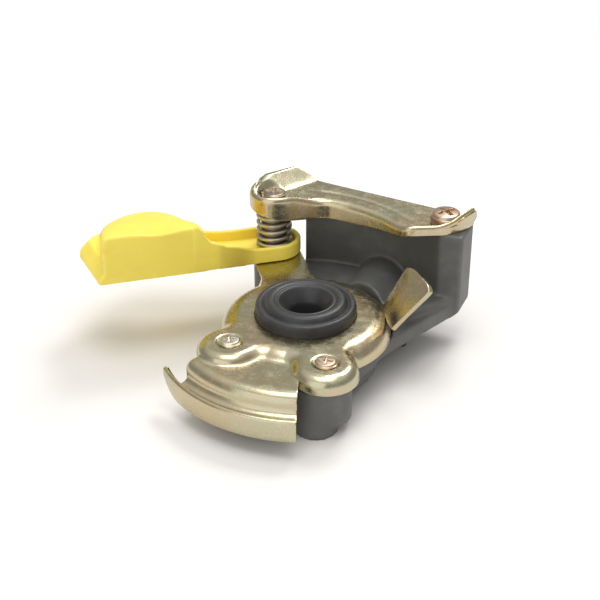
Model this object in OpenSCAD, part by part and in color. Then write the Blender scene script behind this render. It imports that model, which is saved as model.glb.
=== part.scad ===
// Trailer air-brake palm coupling: a cast body under a pressed cover plate with a hooking lip,
// a claw bracket over a rear wall, a rubber face seal and a sprung dust cap that swings aside.
// Millimetres, +Z up. The origin is on the seal's axis, at the face that the body rests on.
// -Y is the front, where the lip hooks the mating coupling. +Y is the rear, with the air port.

/* [Face seal] */
// Radius of the seal where it leaves the cover plate
seal_r = 18.1; // [16.5:0.1:18.6]
// Height of the seal above the cover plate
seal_rise = 6; // [5:0.1:7]
// Radius of the seal's mouth
seal_mouth_r = 9.6; // [8:0.1:11]
// Radius of the seal's throat
seal_throat_r = 6; // [4:0.1:7]
// Width of the foot that the cover plate traps
seal_foot_w = 2.2; // [1.5:0.1:2.6]
// Thickness of that foot
seal_foot_t = 3; // [2:0.1:4]

/* [Cover plate] */
// Height of the cover plate's top above the resting face
plate_z = 25; // [23:0.5:28]
// Thickness of the pressed sheet
plate_t = 2; // [1.5:0.1:2.4]
// Outer radius of the round part
disc_r = 30.5; // [29.5:0.1:31.5]
// Radius of the round part's shoulder
disc_shoulder = 7; // [5:0.1:7.4]
// Height of the round part's skirt
disc_skirt = 7.6; // [7.4:0.1:9]
// Distance of the left screw lobe from the centre line
lobe_left = 16.8; // [16:0.1:20]
// Distance of the right screw lobe from the centre line
lobe_right = 18.6; // [17:0.1:20]
// Distance of the screw lobes in front of the seal axis
lobe_y = 27.7; // [26:0.1:29]
// Radius of each screw lobe
lobe_r = 11.4; // [10.5:0.1:12]
// Radius of each lobe's shoulder
lobe_shoulder = 4; // [3:0.1:5]
// Height of each lobe's skirt
lobe_skirt = 6; // [5.2:0.1:7]
// Step from the plate's top down to the terrace in front of the lobes
terrace_drop = 3; // [2.5:0.1:4]
// Radius of the terrace's front edge about the seal axis
terrace_r = 49; // [47:0.1:50]
// Rounding of that front edge
terrace_edge = 3; // [2.5:0.1:4]
// Depth of the lip's floor below the plate's top
lip_drop = 10; // [9:0.1:11]
// Outer radius of the hooking lip about the seal axis
lip_r = 53.2; // [52:0.1:55]
// Height of the lip's turned-down wall
lip_wall = 8; // [7:0.1:10]
// Direction of the lip's left end, in degrees from +X
lip_from = -124; // [-128:1:-118]
// Direction of the lip's right end, in degrees from +X
lip_to = -71; // [-76:1:-68]
// Angle by which the lip's wall runs on past the left end of its floor
lip_tip = 10; // [4:1:14]
// Radius of the ear round the cap's pivot
ear_r = 9.4; // [8.5:0.1:10.5]

/* [Guide tab] */
// Direction of the tab's middle, in degrees from +X
tab_dir = 21; // [16:1:26]
// Turn of the tab's face from straight outward, in degrees
tab_turn = 13; // [0:1:15]
// Width of the tab at its root
tab_root_w = 14.5; // [11:0.5:16]
// Width of the tab at its tip
tab_tip_w = 17; // [14:0.5:20]
// Height of the tab's tip above the plate's top
tab_rise = 14; // [11:0.5:16]
// Outward reach of the tab's tip from its root
tab_reach = 12; // [8:0.5:13]

/* [Claw bracket] */
// Thickness of the bracket's sheet
claw_t = 2; // [1.6:0.1:2.5]
// Height of the bracket's top above the cover plate's top
claw_rise = 23.2; // [22:0.1:26]
// Depth of the flange along the bracket's inner arc
claw_depth = 8.2; // [6:0.1:9]
// Depth of that flange at its right end
claw_end = 4; // [3:0.1:6]
// Radius of the inner arc
claw_arc_r = 48.7; // [48:0.1:49.4]
// Centre of the inner arc, to the left of the seal axis
claw_arc_x = 7.4; // [6.5:0.1:8.5]
// Centre of the inner arc, in front of the seal axis
claw_arc_y = 5.7; // [5:0.1:6.5]
// Height of the rim round the front of the pivot bolt's head, above the bracket's top
claw_rim = 2.2; // [1:0.1:3]
// Rise of the turned-up wings at both ends
wing_rise = 4.8; // [3:0.1:6]
// Overhang of the right wing past the rear block
wing_over = 1; // [0.5:0.1:2]
// Direction of the bracket screw from the seal axis, in degrees from +X
claw_screw_dir = 48.9; // [47:0.1:50]
// Distance of the bracket screw behind the rear wall's inner face
claw_screw_set = 4.6; // [4:0.1:6]

/* [Body casting] */
// Radius of the rear wall's inner face about the seal axis
wall_r = 52; // [51:0.1:52.5]
// Left end of the rear wall
wall_left = 20; // [18:0.1:20.4]
// Thickness of the rear wall straight behind the seal axis
wall_t = 3.7; // [3:0.1:6]
// Distance of the block's right face from the bracket screw
block_side = 8.6; // [8:0.1:10]
// Distance of the block's front face in front of the bracket screw
block_fore = 6.1; // [5:0.1:7]
// Distance by which the rear wall's back runs farther back at its left end
wall_splay = 7.5; // [6:0.1:9]
// Height of the rear wall's foot above the resting face
wall_foot = 12; // [10:0.5:13]
// Chamfer on the block's lower right edge
block_chamfer = 3; // [2:0.5:5]
// Thickness of the rear deck
deck_t = 6; // [4:0.5:7]
// Height of the web that joins the block to the chamber
web_h = 9; // [7:0.5:10]
// Radius of the air chamber below the seal
chamber_r = 13.5; // [12:0.1:14.5]
// Thickness of the chamber's floor
chamber_floor = 3; // [2:0.1:4]
// Height of the casting's underside above the resting face
under_z = 4; // [3:0.1:5]
// Height of the step round the chamber above the resting face
step_z = 11; // [9:0.5:12]
// Width of that step
step_w = 3; // [2:0.1:4]
// Radius of the two front feet
front_foot_r = 7.6; // [6:0.1:8]
// Offset of each front foot toward the centre line from its screw
front_foot_in = 2; // [0:0.1:3]
// Offset of each front foot forward of its screw
front_foot_fwd = 3.3; // [2:0.1:4]
// Radius of the pivot boss
pivot_boss_r = 8; // [7:0.1:9]
// Knee of the web's slanting face, to the right of the seal axis
knee_x = 31.7; // [30.5:0.1:33]
// Knee of the web's slanting face, behind the seal axis
knee_y = 21; // [18:0.5:24]
// Side of the square foot under the web
foot_w = 7; // [5:0.5:9]

/* [Air port] */
// Nominal radius of the port's thread
port_r = 8; // [6.5:0.1:8.5]
// Depth of the thread
port_depth = 14; // [10:0.5:18]
// Port axis to the right of the seal axis
port_x = 12.7; // [11:0.1:14]
// Height of the port's axis above the resting face
port_z = 13.2; // [12.6:0.1:14]
// Length of the port's boss behind the rear block
port_reach = 6; // [4:0.5:10]
// Wall of the port's boss round the thread
port_wall = 3.5; // [2.5:0.1:4]
// Radius of the air passage from the port to the chamber
passage_r = 5.5; // [4:0.1:5.8]

/* [Cap pivot and spring] */
// Distance of the pivot from the seal axis
pivot_dist = 49; // [48.4:0.1:50]
// Direction of the pivot from the seal axis, in degrees from +X
pivot_dir = 126.6; // [126:0.1:128]
// Radius of the pivot sleeve
sleeve_r = 5; // [4.2:0.1:5.2]
// Outer radius of the spring
spring_r = 6.85; // [6.6:0.05:7]
// Thickness of the spring's wire
wire_d = 1.5; // [1:0.1:1.6]
// Number of curls in the spring
curls = 4.6; // [3.5:0.1:5]
// Thickness of the washer under the spring
washer_t = 1; // [0.6:0.1:1.4]

/* [Dust cap] */
// Swing from the closed place over the seal to the open place drawn here, in degrees
cap_open = 88; // [70:1:110]
// Wall of the moulded cap
cap_wall = 2; // [1.6:0.1:2.4]
// Half width of the arm's trough
arm_r = 10; // [9.4:0.1:10.6]
// Height of the arm's trough
arm_h = 6.2; // [5.8:0.1:7.4]
// Climb of the arm's near wall on its way to the hood
arm_climb = 6; // [4:0.2:8]
// Distance from the pivot at which the arm begins to widen
arm_flare = 13; // [11:0.5:16]
// Start of the hood along its near side, from the pivot
hood_from = 30.3; // [29.8:0.1:31]
// End of the hood's finger ledge, from the pivot
hood_to = 73.7; // [72:0.1:75]
// Half width of the hood
hood_half = 20; // [19:0.1:21.5]
// Height of the hood above its rim
hood_h = 18; // [16:0.5:20]
// Breadth of the roof's curved side, from the far rim
roof_curve = 31; // [27:0.5:33]
// Bulge of the hood's round ends past the ends of its near side
hood_bulge = 1.8; // [1:0.1:2]
// Reach of the sloping finger ledge past the end of the near side
ledge = 4; // [3:0.5:5]
// Height of that ledge at its root
ledge_h = 9.5; // [7:0.5:11]

/* [Screws] */
// Shank radius of the cover plate's screws
plate_screw_r = 2; // [1.5:0.1:2.5]
// Head radius of the cover plate's screws
plate_head_r = 3.6; // [3.2:0.1:4.2]
// Head height of the cover plate's screws
plate_head_h = 1.6; // [1.2:0.1:2.2]
// Thread length of the cover plate's screws below the sheet
plate_thread = 9; // [6:0.5:11]
// Shank radius of the bracket screw and the pivot bolt
bolt_r = 3; // [2.5:0.1:3.2]
// Head radius of the bracket screw
claw_head_r = 5.6; // [5:0.1:6]
// Head height of the bracket screw
claw_head_h = 3.6; // [3:0.1:4.2]
// Thread length of the bracket screw below the sheet
claw_thread = 14; // [10:0.5:18]
// Head radius of the pivot bolt
pivot_head_r = 4.6; // [4.2:0.1:5]
// Head height of the pivot bolt
pivot_head_h = 1.6; // [1.2:0.1:2]
// Thread length of the pivot bolt below the ear
pivot_thread = 12; // [8:0.5:13]
// Thickness of the spring washers under the bracket screw and the pivot bolt
lock_t = 1; // [0.8:0.1:1.4]

/* [Hidden] */

$fn = 96;
// Running fit of the cap and its washer on the sleeve
run_fit = 0.08;
// Fit of a thread or a shank in its hole
thread_fit = 0.05;
// Play of a clearance hole round a shank
hole_play = 0.3;
// Gap between the casting and the skirts of the cover plate
cast_gap = 0.3;
// Gap kept between parts that move past each other
move_gap = 0.35;
// Overlap by which a cut passes through a face
cut = 1;
// Depth of the dimple under each cover plate screw
dimple = 0.6;
// Slot width and depth of the cross recesses, as shares of the head
recess_w = 0.26;
recess_d = 0.6;
// Angle by which the hollow under the terrace runs past its ends
lip_open = 4;
// Angle by which the lip's wall runs past the right end of its floor
lip_over = 0.5;
// Angle round the shoulder at which the guide tab starts
tab_seat = 30;
// Rounding of the guide tab's corners
tab_corner = 5;
// Turn from one point of a moulded or bent outline's arc to the next
arc_step = 7.5;
// Sections along the dust cap's hood and its neck
hood_steps = 16;
neck_steps = 8;
// Breadth left off the hood at its far tip, and the share of the wall left off its hollow there
hood_tip = 0.6;
tip_wall = 1.2;
// Place across the arm at which the hood starts to round off toward its far tip
hood_round = 5;
// Place across the arm of the middle of the ledge's far corner
ledge_mid = -2.5;
// Length of the last step of the neck's near wall up to the hood
climb_step = 6;
// Height by which the feet of the neck and of the ledge stand above the hood's rim
rim_step = 0.2;
// Squareness of the hood's section at its round middle and at its near side
round_power = 2;
square_power = 7;
// Slant of the finger ledge's end, as a slope, and the rounding of its far corner
ledge_slant = 0.165;
ledge_corner = 9.9;
// Height of the ledge's edge and the breadth of its slope
ledge_edge = 1.6;
ledge_slope = 7.5;

seat_z = plate_z - plate_t;
foot_z = seat_z - seal_foot_t;
terrace_z = plate_z - terrace_drop;
lip_z = plate_z - lip_drop;
skirt_z = plate_z - disc_skirt;
claw_z = plate_z + claw_rise;
claw_under = claw_z - claw_t;
claw_low = claw_z - claw_depth;
cap_z = plate_z + move_gap;
rim_z = plate_z + seal_rise + move_gap;
pivot = [pivot_dist * cos(pivot_dir), pivot_dist * sin(pivot_dir)];
closed_dir = pivot_dir - 180;
cap_dir = closed_dir - cap_open;
// Farthest that the low part of the cap reaches from the pivot without meeting the seal
low_reach = pivot_dist - seal_r - 2 * move_gap;
// Middle of the hood along the arm, and the circle on which its roof curves down
hood_mid = (hood_from + hood_to - ledge) / 2;
curve_v = roof_curve - hood_half;
curve_r = (roof_curve * roof_curve + hood_h * hood_h) / (2 * hood_h);
claw_screw_r = wall_r + claw_screw_set;
claw_screw_x = claw_screw_r * cos(claw_screw_dir);
claw_screw_y = claw_screw_r * sin(claw_screw_dir);
wall_right = claw_screw_x + block_side;
wall_front = claw_screw_y - block_fore;
wall_back = wall_r + wall_t - wall_splay * wall_right / (wall_left + wall_right);
port_end = wall_back + port_reach;
cup_r = spring_r + move_gap;
claw_corner_x = claw_screw_x - 3 * bolt_r;
wing_root = claw_screw_x + claw_head_r + move_gap;
spring_low = cap_z + cap_wall + move_gap + washer_t;
mean_r = spring_r - wire_d / 2;
chamber_out = disc_r - plate_t - cast_gap;
boss_out = lobe_r - plate_t - cast_gap;
lobes = [[-lobe_left, -lobe_y], [lobe_right, -lobe_y]];

module at(p) {
  translate([p[0], p[1], 0])
    children();
}

module tube(r_out, r_in, z0, z1) {
  translate([0, 0, z0])
    difference() {
      cylinder(r = r_out, h = z1 - z0);
      translate([0, 0, -cut])
        cylinder(r = r_in, h = z1 - z0 + 2 * cut);
    }
}

// A round post from z0 to z1 with its top edge rounded by e
module post(r, z0, z1, e) {
  rotate_extrude() {
    translate([0, z0])
      square([r, z1 - e - z0]);
    translate([0, z0])
      square([r - e, z1 - z0]);
    translate([r - e, z1 - e])
      intersection() {
        circle(e);
        square(e);
      }
  }
}

// A screw with its head's seat at z = 0, a cross recess and a plain shank
module screw(head_r, head_h, shank_r, length) {
  difference() {
    post(head_r, 0, head_h, head_h / 3);
    for (turn = [0, 90])
      rotate([0, 0, turn])
        translate([-head_r * recess_d, -head_r * recess_w / 2, head_h * (1 - recess_d)])
          cube([2 * head_r * recess_d, head_r * recess_w, head_h]);
  }
  translate([0, 0, -length])
    cylinder(r = shank_r, h = length + head_h / 4);
}

// Section of the terrace and the lip's floor, or of the hollow under the terrace
module terrace_section(inset) {
  low = inset > 0 ? -plate_z : lip_z - plate_t;
  translate([0, low])
    square([terrace_r - inset, terrace_z - terrace_edge - low]);
  translate([0, low])
    square([terrace_r - terrace_edge, terrace_z - inset - low]);
  translate([terrace_r - terrace_edge, terrace_z - terrace_edge])
    circle(terrace_edge - inset);
  if (inset == 0)
    translate([terrace_r - terrace_edge, low])
      square([lip_r - plate_t / 2 - terrace_r + terrace_edge, plate_t]);
}

// The pressing's round part, lobes and terrace, or the hollow inside them where inset is the sheet
module pressing(inset) {
  drop = inset > 0 ? plate_z : 0;
  open = inset > 0 ? lip_open : 0;
  top = plate_z - inset;
  post(disc_r - inset, skirt_z - drop, top, disc_shoulder - inset);
  for (p = lobes) {
    half = lobe_r - lobe_shoulder - inset - cut;
    at(p)
      post(lobe_r - inset, plate_z - lobe_skirt - drop, top, lobe_shoulder - inset);
    rotate([0, 0, atan2(p[1], p[0])])
      translate([0, -half, plate_z - lobe_skirt - drop])
        cube([norm(p), 2 * half, lobe_skirt - inset + drop]);
  }
  rotate([0, 0, lip_from - open])
    rotate_extrude(angle = lip_to - lip_from + 2 * open)
      terrace_section(inset);
}

// The lip's turned-down wall, a little below its floor's top, runs on past the floor at both ends
module lip_edge() {
  rotate([0, 0, lip_from - lip_tip])
    rotate_extrude(angle = lip_to - lip_from + lip_tip + lip_over)
      translate([lip_r - plate_t, lip_z - lip_wall])
        square([plate_t, lip_wall - plate_t / 4]);
}

module ear() {
  half = ear_r - plate_t / 2;
  translate([0, 0, seat_z])
    linear_extrude(plate_t) {
      translate(pivot)
        circle(ear_r);
      rotate(pivot_dir)
        translate([seal_r, -half])
          square([pivot_dist - seal_r, 2 * half]);
    }
}

// A solid through a list of rings, which all have the same number of points
module loft(rings) {
  n = len(rings[0]);
  last = n * (len(rings) - 1);
  sides = [for (i = [0:len(rings) - 2]) for (k = [0:n - 1]) let (a = n * i + k, b = n * i + (k + 1) % n)
    each [[a, b, a + n], [b, b + n, a + n]]];
  polyhedron([for (ring = rings) each ring],
    concat(sides, [[for (k = [0:n - 1]) n - 1 - k], [for (k = [0:n - 1]) last + k]]));
}

// A bent strip of sheet: each row gives the two ends of one edge, and n is the sheet's thickness
module sheet(rows, n) {
  loft([for (row = rows) [row[0], row[1], row[1] + n, row[0] + n]]);
}

// Outline of the guide tab, with round corners at its tip
module tab_outline(length) {
  corner_x = tab_tip_w / 2 - tab_corner;
  arc = [for (a = [0:arc_step:90]) tab_corner * [cos(a), sin(a)]];
  right = [for (p = arc) [corner_x + p[0], length - tab_corner + p[1]]];
  left = [for (i = [len(arc) - 1:-1:0]) [-corner_x - arc[i][0], length - tab_corner + arc[i][1]]];
  polygon(concat([[-tab_root_w / 2, 0], [tab_root_w / 2, 0]], right, left));
}

// The guide tab leans outward as it rises from the middle of the shoulder's sheet
module tab() {
  bend = disc_shoulder - plate_t / 2;
  root_r = disc_r - disc_shoulder + bend * cos(tab_seat);
  root_z = plate_z - disc_shoulder + bend * sin(tab_seat);
  rise = plate_z + tab_rise - root_z;
  rotate([0, 0, tab_dir])
    translate([root_r, 0, root_z])
      rotate([0, atan(tab_reach / rise), tab_turn])
        rotate([90, 0, 90])
          linear_extrude(plate_t)
            tab_outline(norm([rise, tab_reach]));
}

module cover_plate() {
  color("darkkhaki")
    difference() {
      union() {
        difference() {
          pressing(0);
          pressing(plate_t);
        }
        lip_edge();
        ear();
        tab();
      }
      translate([0, 0, foot_z])
        cylinder(r = seal_r + cast_gap / 2, h = plate_z);
      at(pivot)
        cylinder(r = bolt_r + hole_play, h = plate_z + cut);
      for (p = lobes)
        at(p) {
          cylinder(r = plate_screw_r + hole_play, h = plate_z + cut);
          translate([0, 0, plate_z - dimple])
            cylinder(r = plate_head_r + dimple, h = dimple + cut);
        }
    }
}

// Plan of the rear wall and block: a hollow front face and a back that splays toward the left
module wall_plan() {
  difference() {
    polygon([[-wall_left, wall_front], [wall_right, wall_front], [wall_right, wall_back],
      [-wall_left, wall_back + wall_splay]]);
    circle(wall_r);
  }
}

module rear_wall() {
  difference() {
    translate([0, 0, wall_foot])
      linear_extrude(claw_under - wall_foot)
        wall_plan();
    translate([wall_right, 0, wall_foot])
      rotate([0, 45, 0])
        cube([block_chamfer * sqrt(2), 3 * wall_back, block_chamfer * sqrt(2)], center = true);
  }
}

// Deck, web, port boss and rear foot that join the rear wall to the chamber
module rear_web() {
  edge = wall_right - block_chamfer;
  translate([0, 0, wall_foot])
    linear_extrude(deck_t)
      polygon([[-wall_left, wall_back], [-wall_left, 0], [chamber_out, 0], [edge, wall_front],
        [edge, wall_back]]);
  translate([0, 0, wall_foot])
    linear_extrude(web_h)
      polygon([[port_x, wall_back], [port_x, 0], [chamber_out, 0], [knee_x, knee_y],
        [edge, wall_front], [edge, wall_back]]);
  translate([port_x, 0, port_z])
    rotate([-90, 0, 0])
      cylinder(r = port_r + port_wall, h = port_end);
  translate([chamber_out - foot_w, wall_front - foot_w, 0])
    cube([foot_w, foot_w, wall_foot + cut]);
}

module pivot_web() {
  half = pivot_boss_r - plate_t;
  at(pivot)
    cylinder(r = pivot_boss_r, h = seat_z);
  rotate([0, 0, pivot_dir])
    translate([chamber_r + cut, -half, under_z + cut])
      cube([pivot_dist - chamber_r - cut, 2 * half, skirt_z - cast_gap - under_z - 2 * cut]);
}

module chamber_block() {
  post(chamber_out, step_z, seat_z, disc_shoulder - plate_t);
  translate([0, 0, under_z])
    cylinder(r = chamber_out - step_w, h = plate_z / 2);
  for (p = lobes) {
    at(p)
      post(boss_out, under_z, seat_z, lobe_shoulder - plate_t);
    at(p - [sign(p[0]) * front_foot_in, front_foot_fwd])
      cylinder(r = front_foot_r, h = plate_z - lobe_skirt - cast_gap);
  }
}

module body_casting() {
  color("dimgray")
    difference() {
      union() {
        chamber_block();
        difference() {
          union() {
            rear_web();
            pivot_web();
          }
          translate([0, 0, skirt_z - cast_gap])
            cylinder(r = disc_r + cast_gap, h = plate_z);
        }
        rear_wall();
      }
      translate([0, 0, under_z + chamber_floor])
        cylinder(r = chamber_r, h = plate_z);
      translate([0, 0, foot_z])
        cylinder(r = seal_r + seal_foot_w + thread_fit, h = plate_z);
      translate([port_x, 0, port_z])
        rotate([-90, 0, 0])
          cylinder(r = passage_r, h = port_end + cut);
      translate([port_x, port_end - port_depth, port_z])
        rotate([-90, 0, 0])
          cylinder(r = port_r, h = port_depth + cut);
      for (p = lobes)
        at(p)
          translate([0, 0, seat_z - plate_thread - cut])
            cylinder(r = plate_screw_r + thread_fit, h = plate_z);
      at(pivot)
        translate([0, 0, seat_z - pivot_thread - cut])
          cylinder(r = bolt_r + thread_fit, h = plate_z);
      at([claw_screw_x, claw_screw_y])
        translate([0, 0, claw_under - claw_thread - cut])
          cylinder(r = bolt_r + thread_fit, h = claw_z);
    }
}

// Outline of the bracket's flat top, seen from above, with the cup bulging round the pivot
module claw_outline() {
  corner = [claw_corner_x, wall_front - 2 * bolt_r];
  translate(pivot)
    circle(cup_r + claw_t);
  difference() {
    polygon([pivot, [pivot[0], 0], [corner[0], 0], corner, [wing_root, wall_front],
      [wing_root, wall_back], [-wall_left, wall_back + wall_splay], pivot + [0, cup_r]]);
    translate([-claw_arc_x, -claw_arc_y])
      circle(claw_arc_r);
  }
}

// The space under the bracket's top, behind the inner arc's flange and inside the cup
module claw_hollow() {
  difference() {
    translate(pivot - [wall_left, wall_left])
      square(3 * wall_back);
    translate([-claw_arc_x, -claw_arc_y])
      circle(claw_arc_r + claw_t);
    translate(pivot)
      circle(cup_r + claw_t + cut);
  }
  translate(pivot)
    circle(cup_r);
}

// The space above the bracket's top, outside the rim that stands round the front of the cup
module claw_above() {
  difference() {
    translate(pivot - [wall_left, wall_left])
      square(3 * wall_back);
    intersection() {
      translate(pivot)
        circle(cup_r + claw_t + cut);
      translate(pivot - [wall_left, wall_left])
        square([2 * wall_left, wall_left]);
    }
  }
  translate(pivot)
    circle(cup_r);
}

// The wedge by which the flange grows shallower toward its right end
module flange_fade() {
  slope = (claw_depth - claw_end) / claw_corner_x;
  end = claw_corner_x + cut;
  translate([0, wall_back, claw_low])
    rotate([90, 0, 0])
      linear_extrude(wall_back)
        polygon([[0, 0], [0, -cut], [end, -cut], [end, slope * end]]);
}

// The right wing, or the left one beside the pivot, as a strip turned up from the flat top
module claw_wings() {
  rise = [0, 0, claw_under + wing_rise];
  flat = [0, 0, claw_under];
  tip = wall_right + wing_over;
  sheet([[flat + [wing_root - cast_gap, wall_back, 0], flat + [wing_root - cast_gap, wall_front, 0]],
    [rise + [tip, wall_back, 0], rise + [tip, wall_front + claw_t, 0]]],
    [0, 0, claw_t]);
  back = wall_back + wall_splay;
  sheet([[flat + [pivot[0] + claw_t, pivot[1] + cup_r, 0], flat + [-wall_left, back, 0]],
    [rise + [pivot[0] - cup_r, pivot[1] + cup_r / 2, 0], rise + [-wall_left - cup_r, back, 0]]],
    [0, 0, claw_t]);
}

module claw_bracket() {
  color("darkkhaki")
    difference() {
      union() {
        difference() {
          translate([0, 0, claw_low])
            linear_extrude(claw_depth + claw_rim)
              claw_outline();
          translate([0, 0, claw_low - cut])
            linear_extrude(claw_depth - claw_t + cut)
              claw_hollow();
          translate([0, 0, claw_z])
            linear_extrude(claw_rim + cut)
              claw_above();
          flange_fade();
        }
        claw_wings();
      }
      at(pivot)
        translate([0, 0, claw_low])
          cylinder(r = bolt_r + hole_play, h = claw_rise);
      at([claw_screw_x, claw_screw_y])
        translate([0, 0, claw_low])
          cylinder(r = bolt_r + hole_play, h = claw_rise);
    }
}

module coupling_seal() {
  step = seal_rise / 3;
  top = plate_z + seal_rise;
  color("#262626")
    rotate_extrude()
      polygon([[seal_throat_r, foot_z], [seal_r + seal_foot_w, foot_z], [seal_r + seal_foot_w, seat_z],
        [seal_r, seat_z], [seal_r, plate_z + step], [seal_r - step * 0.3, plate_z + step * 1.8],
        [seal_r - step, plate_z + step * 2.1], [seal_r - step * 1.4, plate_z + step * 1.9],
        [seal_r - step * 1.7, plate_z + step * 2.6], [seal_r - step * 2.2, top], [seal_mouth_r, top],
        [seal_throat_r + step / 2, plate_z + step], [seal_throat_r, plate_z]]);
}

module plate_screw(p) {
  color("peru")
    at(p)
      translate([0, 0, plate_z - dimple])
        screw(plate_head_r, plate_head_h, plate_screw_r, plate_t - dimple + plate_thread);
}

module plate_screw_left() {
  plate_screw(lobes[0]);
}

module plate_screw_right() {
  plate_screw(lobes[1]);
}

module bracket_screw() {
  color("peru")
    at([claw_screw_x, claw_screw_y])
      translate([0, 0, claw_z + lock_t])
        screw(claw_head_r, claw_head_h, bolt_r, lock_t + claw_t + claw_thread);
}

module bracket_lock_washer() {
  color("silver")
    at([claw_screw_x, claw_screw_y])
      tube(claw_head_r - cast_gap, bolt_r + thread_fit, claw_z, claw_z + lock_t);
}

module pivot_bolt() {
  color("peru")
    at(pivot)
      translate([0, 0, claw_z + lock_t])
        screw(pivot_head_r, pivot_head_h, bolt_r, lock_t + claw_rise + plate_t + pivot_thread);
}

module pivot_lock_washer() {
  color("silver")
    at(pivot)
      tube(pivot_head_r - cast_gap, bolt_r + thread_fit, claw_z, claw_z + lock_t);
}

module pivot_sleeve() {
  color("gray")
    at(pivot)
      tube(sleeve_r, bolt_r + thread_fit, plate_z, claw_under);
}

module spring_washer() {
  color("silver")
    at(pivot)
      tube(spring_r, sleeve_r + run_fit, spring_low - washer_t, spring_low);
}

// Centre line of the spring's wire: a helix with a straight run of one wire at each end
rings_per_curl = 8;
wire_sides = 6;
spring_h = claw_under - spring_low - wire_d;
turns = [for (i = [0:curls * rings_per_curl]) 360 * i / rings_per_curl];
function coil(a) = [mean_r * cos(a), mean_r * sin(a), spring_h * a / (360 * curls)];
function along(a) = [-sin(a), cos(a), spring_h / (2 * PI * mean_r * curls)];
last = turns[len(turns) - 1];
wire = concat([coil(0) - wire_d * along(0)], [for (a = turns) coil(a)], [coil(last) + wire_d * along(last)]);
headings = concat([0], turns, [last]);
spring_gap = min([for (i = [0:len(wire) - 1]) for (j = [i + rings_per_curl / 2:1:len(wire) - 1])
  norm(wire[i] - wire[j])]) - wire_d;
echo(spring_least_gap = spring_gap);

module cap_spring() {
  n = wire_sides;
  points = [for (i = [0:len(wire) - 1]) for (k = [0:n - 1])
    wire[i] + wire_d / 2 * [cos(headings[i]) * cos(360 * k / n), sin(headings[i]) * cos(360 * k / n),
      sin(360 * k / n)]];
  end = n * (len(wire) - 1);
  sides = [for (i = [0:len(wire) - 2]) for (k = [0:n - 1]) let (a = n * i + k, b = n * i + (k + 1) % n)
    each [[a, a + n, b], [b, a + n, b + n]]];
  caps = [for (k = [1:n - 2]) each [[0, k, k + 1], [end, end + k + 1, end + k]]];
  color("lightslategray")
    at(pivot)
      translate([0, 0, spring_low + wire_d / 2])
        polyhedron(points, concat(sides, caps));
}

module arm_outline(half, length) {
  intersection() {
    union() {
      circle(half);
      translate([0, -half])
        square([length, 2 * half]);
    }
    circle(length);
  }
}

// Share of the way from a to b, eased at both ends
function ease(a, b, t) = let (q = max(0, min(1, (t - a) / (b - a)))) q * q * (3 - 2 * q);

// Height, half length and squareness of the hood's section at v, which is measured across the arm
function hood_fall(v) = curve_r - sqrt(curve_r * curve_r - pow(min(v - curve_v, 0), 2));
function hood_side(v) = ease(0, hood_half, v);
function hood_run(v) = (hood_mid - hood_from + hood_bulge * (1 - hood_side(v)))
  * sqrt(1 - pow(min(v - hood_round, 0) / (hood_half + hood_round), 2));
function hood_power(v) = round_power + (square_power - round_power) * hood_side(v);

// Section of the hood along the arm: a curve between an ellipse and a rectangle, on the rim's plane
function hood_ring(v, inset) = [for (a = [0:arc_step:180])
  let (power = 2 / hood_power(v), rise = pow(sin(a), power) * (hood_h - hood_fall(v) - inset))
    [hood_mid + sign(cos(a)) * pow(abs(cos(a)), power) * (hood_run(v) - inset), v,
      a == 0 || a == 180 ? -min(inset, cut) : rise]];

// The hood: a flat near side and a roof that curves down to a round far side
module hood(inset) {
  near = hood_half - inset;
  far = hood_tip + tip_wall * inset - hood_half;
  loft([for (i = [0:hood_steps]) hood_ring(far + (near - far) * i / hood_steps, inset)]);
}

// Plan of the finger ledge, drawn in by an inset at its end and its round far corner
function ledge_ring(inset, w) = let (near = hood_half - move_gap, r = ledge_corner - inset,
    mid = hood_to - ledge_slant * ledge_mid - ledge_corner)
  concat([[mid - ledge_slope, ledge_mid - r, w], [mid - ledge_slope, near, w],
    [hood_to - ledge_slant * near - inset, near, w]],
    [for (a = [0:arc_step:90]) [mid + r * cos(a), ledge_mid - r * sin(a), w]]);

// The sloping finger ledge at the end of the hood
module finger_ledge() {
  loft([ledge_ring(0, rim_step), ledge_ring(0, ledge_edge), ledge_ring(ledge_slope, ledge_h)]);
}

// Plan of the neck's near and far sides, and the feet and tops of its walls
function arm_near(u) = arm_r - move_gap + (hood_half - arm_r) * ease(arm_r, hood_from - climb_step / 2, u);
function arm_far(u) = arm_r - move_gap + (hood_half - arm_r) / 2 * ease(arm_flare, hood_from + arm_r, u);
function near_foot(u) = rim_step + (rim_z - cap_z) * ease(arm_r, hood_from - climb_step / 2, u);
function near_top(u) = near_foot(u) + arm_h - 2 * rim_step + arm_climb * (u - arm_r) / (hood_from - arm_r)
  + arm_climb / 2 * ease(hood_from - climb_step / 2, hood_from + climb_step / 2, u);
function far_top(u) = arm_h + cap_wall / 2 + 2 * cap_wall * ease(2 * arm_r, hood_from, u);

// The neck between the trough and the hood: a floor and two walls
module neck() {
  floor_z = rim_z - cap_z + rim_step;
  foot_z = floor_z + rim_step;
  near_to = hood_from + cap_wall;
  far_to = hood_from + 3 * cap_wall;
  near = [for (i = [0:neck_steps]) arm_r + cut + (near_to - arm_r - cut) * i / neck_steps];
  far = [for (i = [0:neck_steps]) arm_flare + (far_to - arm_flare) * i / neck_steps];
  translate([0, 0, floor_z])
    linear_extrude(cap_wall)
      polygon(concat([for (u = near) [u, arm_near(u) - cut]],
        [for (i = [neck_steps:-1:0]) [far[i], cut - arm_far(far[i])]]));
  translate([0, -cap_wall, 0])
    sheet([for (u = near) [[u, arm_near(u), near_foot(u)], [u, arm_near(u), near_top(u)]]], [0, cap_wall, 0]);
  sheet([for (u = far) [[u, -arm_far(u), foot_z], [u, -arm_far(u), far_top(u)]]], [0, cap_wall, 0]);
}

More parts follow.
